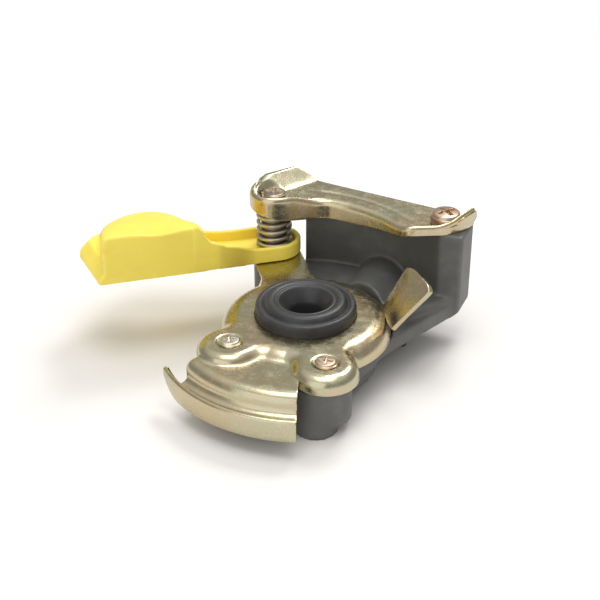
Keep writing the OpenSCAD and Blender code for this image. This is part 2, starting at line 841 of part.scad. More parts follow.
module dust_cap() {
  floor_z = rim_z - cap_z;
  color("gold")
    at(pivot)
      rotate([0, 0, cap_dir])
        translate([0, 0, cap_z])
          difference() {
            union() {
              linear_extrude(arm_h)
                arm_outline(arm_r, low_reach);
              neck();
              translate([0, 0, floor_z]) {
                hood(0);
                finger_ledge();
              }
            }
            translate([0, 0, cap_wall])
              linear_extrude(hood_h)
                arm_outline(arm_r - cap_wall, low_reach - arm_r / 2);
            translate([0, 0, floor_z])
              hood(cap_wall);
            translate([0, 0, -cut])
              cylinder(r = sleeve_r + run_fit, h = arm_h);
          }
}

body_casting();
cover_plate();
claw_bracket();
coupling_seal();
plate_screw_left();
plate_screw_right();
bracket_screw();
bracket_lock_washer();
pivot_bolt();
pivot_lock_washer();
pivot_sleeve();
cap_spring();
spring_washer();
dust_cap();
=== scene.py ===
"""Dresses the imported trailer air-brake palm coupling: pressings, cap, seal, spring, screws and stage."""

import math

import bmesh
import bpy
import numpy as np
from bpy.props import FloatProperty, FloatVectorProperty, PointerProperty
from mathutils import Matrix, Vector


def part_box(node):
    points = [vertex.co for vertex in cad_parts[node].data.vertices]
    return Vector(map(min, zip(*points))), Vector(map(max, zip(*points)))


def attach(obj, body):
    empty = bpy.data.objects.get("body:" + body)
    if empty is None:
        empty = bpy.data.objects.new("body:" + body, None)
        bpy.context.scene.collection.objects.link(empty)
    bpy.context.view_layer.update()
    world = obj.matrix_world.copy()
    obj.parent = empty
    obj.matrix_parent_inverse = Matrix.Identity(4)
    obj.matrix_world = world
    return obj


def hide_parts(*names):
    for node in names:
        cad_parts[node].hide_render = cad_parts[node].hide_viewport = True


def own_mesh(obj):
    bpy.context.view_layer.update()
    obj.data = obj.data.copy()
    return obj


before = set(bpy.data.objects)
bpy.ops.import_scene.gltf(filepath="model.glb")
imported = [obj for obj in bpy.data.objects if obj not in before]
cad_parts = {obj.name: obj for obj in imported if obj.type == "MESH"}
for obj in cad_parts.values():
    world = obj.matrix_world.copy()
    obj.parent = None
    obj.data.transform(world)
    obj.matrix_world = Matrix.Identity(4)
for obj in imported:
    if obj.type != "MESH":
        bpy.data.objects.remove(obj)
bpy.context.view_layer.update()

bl_info = {
    "name": "Palm coupling dresser",
    "version": (1, 0, 0),
    "blender": (4, 5, 0),
    "location": "3D View > Sidebar > Coupling",
    "description": "Builds the visible pieces of a trailer air-brake palm coupling round its packed model",
    "category": "Object",
}

MM = 0.001
WELD = 4e-6
SHARP = math.radians(42)


def node_box(name):
    """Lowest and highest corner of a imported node, in millimetres."""
    low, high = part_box(name)
    return np.array(low) / MM, np.array(high) / MM


def node_axis(name):
    """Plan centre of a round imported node, in millimetres."""
    low, high = node_box(name)
    return (low[:2] + high[:2]) / 2


PLATE_Z = node_box("pivot_sleeve")[0][2]
CLAW_UNDER = node_box("pivot_sleeve")[1][2]
CLAW_Z = node_box("pivot_lock_washer")[0][2]
PIVOT = node_axis("pivot_sleeve")
SCREW_LEFT = node_axis("plate_screw_left")
SCREW_RIGHT = node_axis("plate_screw_right")
SPRING_LOW = node_box("spring_washer")[1][2]
CAP_Z = node_box("dust_cap")[0][2]


# Settings

def length(name, text, mm):
    """A size in metres with its default given in millimetres."""
    return FloatProperty(name=name, description=text, default=mm * MM, min=0.0, unit="LENGTH",
                         subtype="DISTANCE", precision=5)


def number(name, text, value, low=0.0):
    """A plain number."""
    return FloatProperty(name=name, description=text, default=value, min=low)


def power(name, text, watts):
    """A lamp's power."""
    return FloatProperty(name=name, description=text, default=watts, min=0.0, unit="POWER")


def colour(name, text, rgb):
    """A linear colour."""
    return FloatVectorProperty(name=name, description=text, default=rgb, size=3, min=0.0, max=1.0,
                               subtype="COLOR")


class CoverSizes(bpy.types.PropertyGroup):
    """Sizes of the pressed cover."""

    sheet: length("Sheet", "Thickness of the pressed sheet", 2.0)
    hole_r: length("Seal hole", "Radius of the hole round the seal", 18.25)
    disc_r: length("Disc", "Outer radius of the round part", 30.5)
    disc_bend: length("Disc shoulder", "Radius of the round part's shoulder", 7.0)
    disc_skirt: length("Disc skirt", "Height of the round part's skirt", 7.6)
    lobe_r: length("Lobe", "Radius of the lobe round each screw", 11.4)
    lobe_bend: length("Lobe shoulder", "Radius of each lobe's shoulder", 4.0)
    lobe_skirt: length("Lobe skirt", "Height of each lobe's skirt", 6.0)
    ear_r: length("Ear", "Half width of the ear under the pivot", 9.4)
    valley: length("Valley", "Softness of the valleys between disc, lobes and ear", 4.5)
    dimple: length("Dimple", "Depth of the dimple under each screw", 0.6)
    terrace_drop: length("Terrace", "Step from the top down to the terrace", 3.0)
    terrace_r: length("Terrace edge", "Radius of the terrace's front edge", 49.0)
    terrace_bend: length("Terrace rounding", "Rounding of that edge", 4.0)
    lip_drop: length("Lip floor", "Depth of the lip's floor below the top", 10.0)
    lip_r: length("Lip", "Outer radius of the hooking lip", 53.2)
    lip_wall: length("Lip wall", "Height of the lip's turned-down wall", 8.0)
    tab_rise: length("Tab", "Height of the guide tab above the top", 16.2)


class BracketSizes(bpy.types.PropertyGroup):
    """Sizes of the claw bracket."""

    sheet: length("Sheet", "Thickness of the bracket's sheet", 2.0)
    bend: length("Bend", "Outer radius of the flange's bend", 2.4)
    cup_r: length("Cup", "Outer radius of the cup round the pivot", 9.2)
    rim: length("Rim", "Height of the rim in front of the pivot bolt", 3.1)
    wing: length("Wing", "Rise of the turned-up wings", 4.8)


class CapSizes(bpy.types.PropertyGroup):
    """Sizes of the moulded dust cap."""

    wall: length("Wall", "Thickness of the moulding", 2.0)
    arm_r: length("Arm", "Half width of the arm", 10.0)
    arm_h: length("Arm wall", "Height of the arm's wall", 6.2)
    hood_from: length("Hood start", "Start of the hood's flat side from the pivot", 30.3)
    hood_to: length("Hood end", "End of the finger ledge from the pivot", 73.7)
    hood_half: length("Hood side", "Distance of the hood's flat side from the arm's middle", 20.0)
    hood_h: length("Hood", "Height of the hood above its rim", 18.0)
    bulge: length("Bulge", "Bulge of the hood's round ends past the ends of its flat side", 1.8)
    roof_curve: length("Roof", "Breadth of the roof's curved side", 31.0)
    roof_r: length("Roof radius", "Radius of the roof's curved side", 35.7)
    sag: length("Sag", "Dip of the roof's edge over the flat side", 1.3)
    draft: length("Draft", "Lean of the hood's flat side, from its top to its rim", 0.9)
    end_wall: length("End wall", "Distance of the dome's end wall from the pivot on its far half", 65.6)
    end_flare: length("End flare", "How much farther the end wall stands at the flat side", 2.8)
    ledge: length("Ledge", "Reach of the finger ledge past the flat side", 4.0)
    ledge_h: length("Ledge height", "Height of the finger ledge at its root", 5.6)
    slant: number("Slant", "Slope of the finger ledge's end across the arm", 0.165)
    bore_r: length("Bore", "Radius of the bore on the sleeve", 5.1)


class SpringSizes(bpy.types.PropertyGroup):
    """Sizes of the cap's spring."""

    outer_r: length("Spring", "Outer radius of the spring", 6.85)
    wire: length("Wire", "Thickness of the wire", 1.5)
    turns: number("Turns", "Turns of the spring, closed ends included", 6.4, 4.6)
    travel: length("Travel", "Lift of the cap that presses the spring", 6.0)


class Finishes(bpy.types.PropertyGroup):
    """Colours of the finishes."""

    zinc_gold: colour("Zinc gold", "Main colour of the yellow passivated zinc", (0.545, 0.455, 0.295))
    zinc_olive: colour("Zinc olive", "Greenish cast of the passivation", (0.51, 0.485, 0.325))
    zinc_rose: colour("Zinc rose", "Pinkish cast of the passivation", (0.59, 0.45, 0.34))
    zinc_pale: colour("Zinc pale", "Worn, silvery zinc", (0.71, 0.67, 0.56))
    casting: colour("Casting", "Dark coating of the casting", (0.118, 0.118, 0.112))
    casting_worn: colour("Casting worn", "Rubbed coating of the casting", (0.185, 0.184, 0.180))
    rubber: colour("Rubber", "Seal rubber", (0.027, 0.027, 0.028))
    bloom: colour("Rubber bloom", "Dusty bloom on the seal", (0.06, 0.06, 0.064))
    plastic: colour("Cap plastic", "Yellow moulded plastic", (0.94, 0.765, 0.11))
    copper: colour("Screw copper", "Copper cast of the screws", (0.56, 0.36, 0.24))
    screw_grey: colour("Screw grey", "Grey-gold cast of the screws", (0.52, 0.46, 0.36))
    bolt: colour("Bolt", "Brown plating of the pivot bolt", (0.30, 0.235, 0.18))
    bolt_light: colour("Bolt light", "Lighter cast of that plating", (0.42, 0.34, 0.26))
    plating_worn: colour("Plating worn", "Screw plating that is worn bright", (0.70, 0.66, 0.60))
    steel: colour("Steel", "Plain steel", (0.46, 0.45, 0.43))
    spring: colour("Spring steel", "Brownish drawn wire", (0.56, 0.50, 0.42))


class StageSettings(bpy.types.PropertyGroup):
    """Floor, light and camera."""

    floor: colour("Floor", "Colour of the floor", (0.84, 0.82, 0.80))
    floor_r: length("Floor radius", "Distance at which the floor has faded to white", 330.0)
    sky: number("Sky", "Strength of the light from all round", 0.85)
    horizon: colour("Horizon", "Colour of the surroundings low down", (0.46, 0.45, 0.43))
    key: power("Key light", "Power of the main soft light, from behind", 4.0)
    top: power("Top light", "Power of the soft light overhead", 2.0)
    fill: power("Fill light", "Power of the soft light from the front", 1.8)
    lens: FloatProperty(name="Lens", description="Focal length of the camera in millimetres", default=78.0,
                        min=1.0, unit="CAMERA")


class CouplingSettings(bpy.types.PropertyGroup):
    """All the settings of the dressed coupling."""

    cover: PointerProperty(type=CoverSizes)
    bracket: PointerProperty(type=BracketSizes)
    cap: PointerProperty(type=CapSizes)
    spring: PointerProperty(type=SpringSizes)
    finish: PointerProperty(type=Finishes)
    stage: PointerProperty(type=StageSettings)


class Sizes:
    """A PropertyGroup's lengths, read in millimetres."""

    def __init__(self, group):
        self.group = group

    def __getattr__(self, name):
        return getattr(self.group, name) / MM


# Surfaces

def smooth_step(low, high, x):
    """0 below low, 1 above high and the cubic 3t^2 - 2t^3 between them."""
    t = np.clip((x - low) / (high - low), 0.0, 1.0)
    return t * t * (3 - 2 * t)


def soft_min(a, b, k):
    """The lesser of two fields, rounded by a parabola where they differ by less than k."""
    h = np.clip(0.5 + 0.5 * (b - a) / k, 0.0, 1.0)
    return b + (a - b) * h - k * h * (1 - h)


def soft_max(a, b, k):
    """The greater of two fields, rounded in the same way."""
    return -soft_min(-a, -b, k)


def soft_ramp(d, w):
    """A ramp that leaves zero smoothly: half of d plus the root of d squared plus w squared."""
    return (d + np.sqrt(d * d + w * w)) / 2


def circle(angle):
    """Points of the unit circle in plan."""
    return np.stack([np.cos(angle), np.sin(angle)], -1)


def full_turn(count):
    """Evenly spaced angles once round, without the last."""
    return np.linspace(0, 2 * np.pi, count, endpoint=False)


def unit(vectors):
    """Vectors of length 1 in the same directions."""
    return vectors / np.maximum(np.linalg.norm(vectors, axis=-1, keepdims=True), 1e-9)


def inward_of(path):
    """Unit vectors square to a plan path, on its left."""
    along = unit(np.gradient(path, axis=0))
    return np.stack([-along[:, 1], along[:, 0]], -1)


def polar(r, angle, z):
    """Points at radius r, angle and height z about the seal's axis."""
    r, angle, z = np.broadcast_arrays(r, angle, z)
    return np.stack([r * np.cos(angle), r * np.sin(angle), z], -1)


def crossing(field, low, high, steps=44):
    """Distance at which a field of distance turns positive, by halving the interval on whole arrays."""
    low, high = np.array(low, float), np.array(high, float)
    for _ in range(steps):
        mid = (low + high) / 2
        outside = field(mid) > 0
        high, low = np.where(outside, mid, high), np.where(outside, low, mid)
    return (low + high) / 2


def resample(points, count, closed=False):
    """The same polyline with evenly spaced points."""
    if closed:
        points = np.concatenate([points, points[:1]])
    run = np.concatenate([[0], np.cumsum(np.linalg.norm(np.diff(points, axis=0), axis=1))])
    at = np.linspace(0, run[-1], count, endpoint=not closed)
    return np.stack([np.interp(at, run, points[:, k]) for k in range(points.shape[1])], -1)


def quads(rows, cols, close_rows, close_cols):
    """Corner numbers of a grid's quads, row by row."""
    i = np.arange(rows if close_rows else rows - 1)[:, None]
    j = np.arange(cols if close_cols else cols - 1)[None, :]
    i2, j2 = (i + 1) % rows, (j + 1) % cols
    return np.stack([i * cols + j, i * cols + j2, i2 * cols + j2, i2 * cols + j], -1).reshape(-1, 4)


def mesh_of(name, patches, upward=False):
    """One welded mesh from grids of points in millimetres; each patch is (points, close_rows, close_cols).

    A closed form is turned outward, and an open sheet so that most of it faces up."""
    verts, faces, start = [], [], 0
    for points, close_rows, close_cols in patches:
        rows, cols = points.shape[:2]
        verts.append(points.reshape(-1, 3))
        faces.append(quads(rows, cols, close_rows, close_cols) + start)
        start += rows * cols
    verts, faces = np.concatenate(verts) * MM, np.concatenate(faces)
    mesh = bpy.data.meshes.new(name)
    mesh.vertices.add(len(verts))
    mesh.vertices.foreach_set("co", verts.astype(np.float32).ravel())
    mesh.loops.add(faces.size)
    mesh.loops.foreach_set("vertex_index", faces.astype(np.int32).ravel())
    mesh.polygons.add(len(faces))
    mesh.polygons.foreach_set("loop_start", np.arange(0, faces.size, 4, dtype=np.int32))
    mesh.update(calc_edges=True)
    finish_mesh(mesh, upward)
    return mesh


def finish_mesh(mesh, upward=False):
    """Merges doubles, drops empty faces, turns the faces the right way and smooths all but sharp edges."""
    bm = bmesh.new()
    bm.from_mesh(mesh)
    bmesh.ops.remove_doubles(bm, verts=bm.verts, dist=WELD)
    bmesh.ops.dissolve_degenerate(bm, edges=bm.edges, dist=WELD / 4)
    loose = [v for v in bm.verts if not v.link_faces]
    bmesh.ops.delete(bm, geom=loose, context="VERTS")
    bmesh.ops.recalc_face_normals(bm, faces=bm.faces)
    if upward and sum(f.normal.z * f.calc_area() for f in bm.faces) < 0:
        bmesh.ops.reverse_faces(bm, faces=bm.faces)
    bm.to_mesh(mesh)
    bm.free()
    mesh.polygons.foreach_set("use_smooth", np.ones(len(mesh.polygons), bool))
    mesh.set_sharp_from_angle(angle=SHARP)


def linked(name, data):
    """A new object in the scene, at the origin."""
    obj = bpy.data.objects.new(name, data)
    bpy.context.scene.collection.objects.link(obj)
    return obj


def place(name, mesh, finish, body, slot, *nodes):
    """Links a piece with its finish, lets it ride on its body and stands it for its nodes."""
    if len(mesh.polygons) == 0:
        raise RuntimeError(f"{name} has no faces")
    obj = linked(name, mesh)
    mesh.materials.append(finish)
    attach(obj, body)
    if nodes:
        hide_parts(*nodes)
    return obj


def add_wall(obj, thickness, edge=0.0):
    """Gives an open sheet its thickness on the inner side, and softens its edges."""
    solid = obj.modifiers.new("wall", "SOLIDIFY")
    solid.thickness = thickness * MM
    solid.offset = -1
    solid.use_quality_normals = True
    if edge:
        soften(obj, edge)


def soften(obj, width, angle=50, segments=2):
    """Rounds the edges sharper than an angle."""
    bevel = obj.modifiers.new("edge", "BEVEL")
    bevel.width = width * MM
    bevel.segments = segments
    bevel.limit_method = "ANGLE"
    bevel.angle_limit = math.radians(angle)
    bevel.use_clamp_overlap = True
    bevel.harden_normals = False


def revolved(profile, axis, count=128):
    """A profile of (radius, height) points turned once round an upright axis."""
    points = polar(profile[:, :1], full_turn(count)[None, :], profile[:, 1:])
    return points + np.array([axis[0], axis[1], 0.0])


def rounded(profile, cut, rounds=3):
    """A polyline whose corners are cut at a share of their sides, several times, so that they turn round."""
    for _ in range(rounds):
        a, b = profile[:-1], profile[1:]
        inner = np.stack([a + (b - a) * cut, b - (b - a) * cut], 1).reshape(-1, profile.shape[1])
        profile = np.concatenate([profile[:1], inner[1:-1], profile[-1:]])
    return profile


# Finishes

class Wire:
    """An output socket of a node tree, with the arithmetic that the finishes use."""

    def __init__(self, tree, socket):
        self.tree, self.socket = tree, socket

    def math(self, operation, other):
        return node(self.tree, "ShaderNodeMath", {"operation": operation}, {0: self, 1: other})

    def __add__(self, other):
        return self.math("ADD", other)

    def __mul__(self, other):
        return self.math("MULTIPLY", other)

    __radd__, __rmul__ = __add__, __mul__


def node(tree, kind, settings=None, inputs=None, out=0):
    """Adds a node, sets its settings, then its inputs by name or number, and returns one output."""
    made = tree.nodes.new(kind)
    for key, value in (settings or {}).items():
        setattr(made, key, value)
    for key, value in (inputs or {}).items():
        if isinstance(value, Wire):
            tree.links.new(value.socket, made.inputs[key])
        else:
            made.inputs[key].default_value = value
    return Wire(tree, made.outputs[out])


def blank(name):
    """A new material with its shader, and the surface's object coordinates in millimetres."""
    finish = bpy.data.materials.new(name)
    finish.use_nodes = True
    tree = finish.node_tree
    tree.nodes.clear()
    shader = tree.nodes.new("ShaderNodeBsdfPrincipled")
    output = tree.nodes.new("ShaderNodeOutputMaterial")
    tree.links.new(shader.outputs["BSDF"], output.inputs["Surface"])
    at = node(tree, "ShaderNodeTexCoord", out="Object")
    at = node(tree, "ShaderNodeVectorMath", {"operation": "SCALE"}, {0: at, "Scale": 1 / MM})
    return finish, shader, at


def noise(at, per_mm, detail=3.0, rough=0.5, stretch=None):
    """Cloudy noise between 0 and 1 with so many cells per millimetre, stretched along axes if asked."""
    if stretch:
        at = node(at.tree, "ShaderNodeMapping", {"vector_type": "POINT"}, {"Vector": at, "Scale": stretch})
    return node(at.tree, "ShaderNodeTexNoise", {"noise_dimensions": "3D"},
                {"Vector": at, "Scale": per_mm, "Detail": detail, "Roughness": rough})


def band(value, low, high):
    """A value's climb from low to high as 0 to 1, smoothed."""
    return node(value.tree, "ShaderNodeMapRange", {"interpolation_type": "SMOOTHSTEP"},
                {"Value": value, "From Min": low, "From Max": high})


def mixed(share, a, b):
    """Colour a where share is 0 and colour b where it is 1."""
    pick = {"data_type": "RGBA", "blend_type": "MIX"}
    a, b = ((*c, 1.0) if isinstance(c, tuple) else c for c in (a, b))
    return node(share.tree, "ShaderNodeMix", pick, {0: share, 6: a, 7: b}, out=2)


def connect(shader, **inputs):
    """Sets or links a shader's sockets; an underscore in a name stands for a space."""
    for key, value in inputs.items():
        socket = shader.inputs[key.replace("_", " ")]
        if isinstance(value, Wire):
            value.tree.links.new(value.socket, socket)
        else:
            socket.default_value = value


def bump(height, strength, depth_mm):
    """A bump from a height between 0 and 1 over so many millimetres."""
    inputs = {"Strength": strength, "Distance": depth_mm * MM, "Height": height}
    return node(height.tree, "ShaderNodeBump", {}, inputs)


def shade(rgb):
    """A colour property as a plain tuple."""
    return tuple(float(c) for c in rgb)


def zinc_finish(colours):
    """Yellow-passivated zinc: gold that drifts to olive, rose and silver, with fine scratches."""
    finish, shader, at = blank("yellow_zinc")
    drift = noise(at, 0.045, 2.0)
    film = noise(at, 0.12, 3.0, 0.6)
    worn = noise(at, 0.3, 5.0, 0.65)
    scratch = noise(at, 0.9, 3.0, 0.6, (0.15, 1.6, 1.0))
    tone = mixed(band(drift, 0.38, 0.62), shade(colours.zinc_gold), shade(colours.zinc_olive))
    tone = mixed(band(film, 0.52, 0.72) * 0.6, tone, shade(colours.zinc_rose))
    tone = mixed(band(worn, 0.5, 0.85) * 0.4, tone, shade(colours.zinc_pale))
    tone = mixed(band(scratch, 0.62, 0.75) * 0.25, tone, shade(colours.zinc_pale))
    rough = 0.2 + band(worn, 0.3, 0.8) * 0.14 + band(scratch, 0.55, 0.75) * 0.08
    relief = bump(noise(at, 1.4, 4.0, 0.6) * 0.6 + scratch * 0.4, 0.025, 0.06)
    connect(shader, Base_Color=tone, Metallic=1.0, Roughness=rough, Normal=relief)
    return finish


def casting_finish(colours):
    """Dark coated die casting: satin, with a fine grain and paler rubbed patches."""
    finish, shader, at = blank("coated_casting")
    patch = noise(at, 0.08, 4.0, 0.6)
    grain = noise(at, 2.2, 4.0, 0.65)
    worn = shade(colours.casting_worn)
    tone = mixed(band(patch, 0.4, 0.75) * 0.7, shade(colours.casting), worn)
    tone = mixed(band(grain, 0.55, 0.8) * 0.35, tone, worn)
    rough = 0.42 + patch * 0.12 + grain * 0.06
    relief = bump(grain, 0.25, 0.12)
    connect(shader, Base_Color=tone, Roughness=rough, Metallic=0.25, Normal=relief)
    return finish


def rubber_finish(colours):
    """Moulded rubber: near black, dull with a soft sheen and a dusty bloom."""
    finish, shader, at = blank("seal_rubber")
    bloom = noise(at, 0.25, 4.0, 0.6)
    grain = noise(at, 3.0, 3.0)
    tone = mixed(band(bloom, 0.45, 0.8) * 0.5, shade(colours.rubber), shade(colours.bloom))
    rough = 0.34 + bloom * 0.16
    connect(shader, Base_Color=tone, Roughness=rough, Normal=bump(grain, 0.12, 0.05))
    return finish


def plastic_finish(colours):
    """Yellow moulded plastic: satin, faintly mottled with flow marks and fine scuffs."""
    finish, shader, at = blank("cap_plastic")
    base = shade(colours.plastic)
    flow = noise(at, 0.06, 3.0, 0.55, (1.0, 1.0, 2.0))
    scuff = noise(at, 0.8, 4.0, 0.6, (0.3, 0.3, 1.5))
    deep = tuple(c * k for c, k in zip(base, (0.9, 0.83, 0.75)))
    tone = mixed(band(flow, 0.35, 0.7) * 0.55, base, deep)
    pale = tuple(min(1.0, c * 1.1 + 0.04) for c in base)
    tone = mixed(band(scuff, 0.62, 0.8) * 0.2, tone, pale)
    rough = 0.4 + flow * 0.1 + band(scuff, 0.55, 0.75) * 0.08
    grain = noise(at, 2.5, 3.0)
    connect(shader, Base_Color=tone, Roughness=rough, Normal=bump(grain, 0.08, 0.05))
    return finish


def screw_finish(name, main, second, bright):
    """Plated screw: two casts of one plating in small clouds, worn bright in places."""
    finish, shader, at = blank(name)
    cloud = noise(at, 0.35, 4.0, 0.6)
    wear = noise(at, 1.4, 4.0, 0.6)
    tone = mixed(band(cloud, 0.4, 0.65), shade(main), shade(second))
    tone = mixed(band(wear, 0.58, 0.75) * 0.5, tone, shade(bright))
    rough = 0.22 + wear * 0.2
    relief = bump(wear, 0.15, 0.05)
    connect(shader, Base_Color=tone, Metallic=1.0, Roughness=rough, Normal=relief)
    return finish


def steel_finish(name, main, stretch):
    """Drawn or turned steel: fine lines along one direction and darker stains."""
    finish, shader, at = blank(name)
    lines = noise(at, 2.0, 4.0, 0.6, stretch)
    stain = noise(at, 0.2, 4.0, 0.6)
    dark = tuple(c * 0.6 for c in shade(main))
    pale = tuple(min(1.0, c * 1.4) for c in shade(main))
    tone = mixed(band(stain, 0.4, 0.75) * 0.7, shade(main), dark)
    tone = mixed(band(lines, 0.55, 0.75) * 0.3, tone, pale)
    rough = 0.26 + lines * 0.16 + stain * 0.1
    relief = bump(lines, 0.15, 0.04)
    connect(shader, Base_Color=tone, Metallic=1.0, Roughness=rough, Normal=relief)
    return finish


# Cover

LIP_FROM, LIP_TO, LIP_TIP = (math.radians(a) for a in (-122.0, -71.0, 13.2))
LOBES = (SCREW_LEFT, SCREW_RIGHT)

# Radii of the fillet at the lip's floor and of the lip's bend, and of each screw dimple's foot and brim.
FOOT_R, LIP_BEND = 2.8, 1.2
DIMPLE_EDGE = (4.0, 5.0)

# The drop at which the shoulder's rows part, and the share of its height that the lip keeps at its tip.
SHOULDER_SPLIT, TIP_HEIGHT = 2.0, 0.42

# The guide tab's corners and lean in plan, the depth of its root below the top and its bow.
TAB_ROOT = ((22.7, 16.4), (30.7, 3.4))
TAB_TIP = ((30.9, 20.4), (44.3, 6.2))
TAB_LEAN = np.array([0.83, 0.56, 0.0])
TAB_DEPTH, TAB_BOW = 1.6, 0.9


def cover_plan(r, angle, s):
    """Signed distance to the cover's outline: the soft union of disc, two lobes and the ear's stadium."""
    x, y = r * np.cos(angle), r * np.sin(angle)
    field = r - s.disc_r
    for lobe in LOBES:
        field = soft_min(field, np.hypot(x - lobe[0], y - lobe[1]) - s.lobe_r, s.valley)
    along = np.clip((x * PIVOT[0] + y * PIVOT[1]) / (PIVOT @ PIVOT), 0, 1)
    ear = np.hypot(x - along * PIVOT[0], y - along * PIVOT[1]) - s.ear_r
    return soft_min(field, ear, s.valley / 2)


def near_angle(angle, middle, full, none):
    """1 within full of a direction, 0 beyond none and smooth between them, in radians."""
    off = np.abs((angle - middle + np.pi) % (2 * np.pi) - np.pi)
    return 1 - smooth_step(full, none, off)


def cover_edges(angle, s):
    """Shoulder radius and skirt height by direction: the disc's, then the lobes', and none at the ear."""
    bend, skirt = np.full_like(angle, s.disc_bend), np.full_like(angle, s.disc_skirt)
    for lobe in LOBES:
        share = near_angle(angle, math.atan2(lobe[1], lobe[0]), math.radians(14), math.radians(27))
        bend += (s.lobe_bend - s.disc_bend) * share
        skirt += (s.lobe_skirt - s.disc_skirt) * share
    flat = 1 - near_angle(angle, math.atan2(PIVOT[1], PIVOT[0]), math.radians(15), math.radians(25))
    return np.maximum(bend * flat, 0.01), np.maximum(skirt * flat, 0.01)


def shoulder_rows(angle, bend, rows, s):
    """The shoulder at some of its own angles: a quarter circle over the plan's signed distance."""
    out = radius_at(angle, bend * (np.sin(rows) - 1), s)
    return polar(out, angle, PLATE_Z - bend * (1 - np.cos(rows)))


def cover_top(angle, s):
    """Rows of the cover's top from the seal's hole over the shoulder's first part, with the screw dimples.

    The rows stop where the shoulder has dropped by the split, and come with its angle there."""
    bend, _ = cover_edges(angle, s)
    turn = np.arccos(np.maximum(1 - SHOULDER_SPLIT / bend, 0))
    flat_end = radius_at(angle, -bend, s)
    share = np.linspace(0, 1, 46)[:, None] ** 0.9
    r = s.hole_r + (flat_end - s.hole_r) * share
    top = polar(r, angle, PLATE_Z + 0 * r)
    for lobe in LOBES:
        away = np.hypot(top[..., 0] - lobe[0], top[..., 1] - lobe[1])
        top[..., 2] -= s.dimple * (1 - smooth_step(*DIMPLE_EDGE, away))
    rows = np.linspace(0, 1, 9)[1:, None] * turn
    return np.concatenate([top, shoulder_rows(angle, bend, rows, s)]), turn


def radius_at(angle, target, s):
    """Radius along each direction at which the plan's signed distance reaches a target."""
    angle, target = np.broadcast_arrays(angle, target)
    low, high = np.full(angle.shape, 8.0), np.full(angle.shape, 70.0)
    return crossing(lambda r: cover_plan(r, angle, s) - target, low, high)


def cover_side(angle, s, turn):
    """Rows on from the top's last row: the rest of the shoulder's quarter circle and the plain skirt."""
    bend, skirt = cover_edges(angle, s)
    rows = turn + np.linspace(0, 1, 8)[:, None] * (np.pi / 2 - turn)
    low = np.maximum(skirt - bend, 0) * np.linspace(0, 1, 4)[1:, None]
    below = polar(radius_at(angle, 0 * bend, s), angle, PLATE_Z - bend - low)
    return np.concatenate([shoulder_rows(angle, bend, rows, s), below])


def cover_front(angle, s, turn):
    """Rows on from the top's last row in front: a hollow fillet, the terrace, its edge, wall, floor and lip.

    They come with the number of rows down to the terrace's edge and the number of rows of the lip."""
    bend, _ = cover_edges(angle, s)
    terrace, floor = PLATE_Z - s.terrace_drop, PLATE_Z - s.lip_drop
    drop = bend * (1 - np.cos(turn))
    hollow = (s.terrace_drop - drop) / (1 - np.cos(turn))
    rows = turn * np.linspace(1, 0, 10)[:, None]
    out = bend * (np.sin(turn) - 1) + hollow * (np.sin(turn) - np.sin(rows))
    fillet = polar(radius_at(angle, out, s), angle, terrace + hollow * (1 - np.cos(rows)))
    inner = np.hypot(fillet[-1, :, 0], fillet[-1, :, 1])
    edge_r, e = s.terrace_r - s.terrace_bend, s.terrace_bend
    flat = inner + (edge_r - inner) * np.linspace(0, 1, 9)[1:, None]
    flat = polar(flat, angle, terrace + 0 * flat)
    q = np.linspace(0, np.pi / 2, 10)[1:]
    f, b = FOOT_R, LIP_BEND
    edge = np.stack([edge_r + e * np.sin(q), terrace - e + e * np.cos(q)], -1)
    wall = np.stack([np.full(3, s.terrace_r), np.linspace(terrace - e, floor + f, 4)[1:]], -1)
    foot = np.stack([s.terrace_r + f - f * np.cos(q), floor + f - f * np.sin(q)], -1)
    lip = np.stack([s.lip_r - b + b * np.sin(q), floor - b + b * np.cos(q)], -1)
    lip = np.concatenate([[[s.lip_r - b, floor]], lip])
    down = np.stack([np.full(5, s.lip_r), np.linspace(floor - b, floor - s.lip_wall, 6)[1:]], -1)
    section = np.concatenate([edge, wall, foot, lip, down])
    swept = polar(section[:, :1], angle, section[:, 1:])
    return np.concatenate([fillet, flat, swept]), len(fillet) + len(flat), len(lip) + len(down)


def terrace_end(front, flat_rows, s):
    """The terrace's rounded left end: its rows carried on round a quarter circle, with an eighth of a ball.

    Below the corner the wall goes straight down, and so does the end wall behind it."""
    angle, e = LIP_FROM, s.terrace_bend
    terrace = PLATE_Z - s.terrace_drop
    out = np.array([math.cos(angle), math.sin(angle), 0])
    back = np.array([math.sin(angle), -math.cos(angle), 0])
    up = np.array([0.0, 0.0, 1.0])
    t = np.linspace(0, np.pi / 2, 9)[None, :, None]
    flat = front[:flat_rows, :1]
    above = flat[..., 2:] - terrace
    flat = flat + back * e * np.sin(t) - up * ((e + above) * (1 - np.cos(t)))
    q = np.linspace(0, np.pi / 2, 10)[1:, None, None]
    centre = out * (s.terrace_r - e) + up * (terrace - e)
    ball = centre + e * (out * np.sin(q) * np.cos(t) + back * np.sin(t) + up * np.cos(q) * np.cos(t))
    low = np.linspace(0, PLATE_Z - s.lip_drop - terrace + e, 6)[1:, None, None]
    pillar = centre + e * (out * np.cos(t) + back * np.sin(t)) + up * low
    side = flat[:, -1:] + up * np.concatenate([[0], low[:, 0, 0]])[None, :, None]
    return np.concatenate([flat, ball, pillar]), side


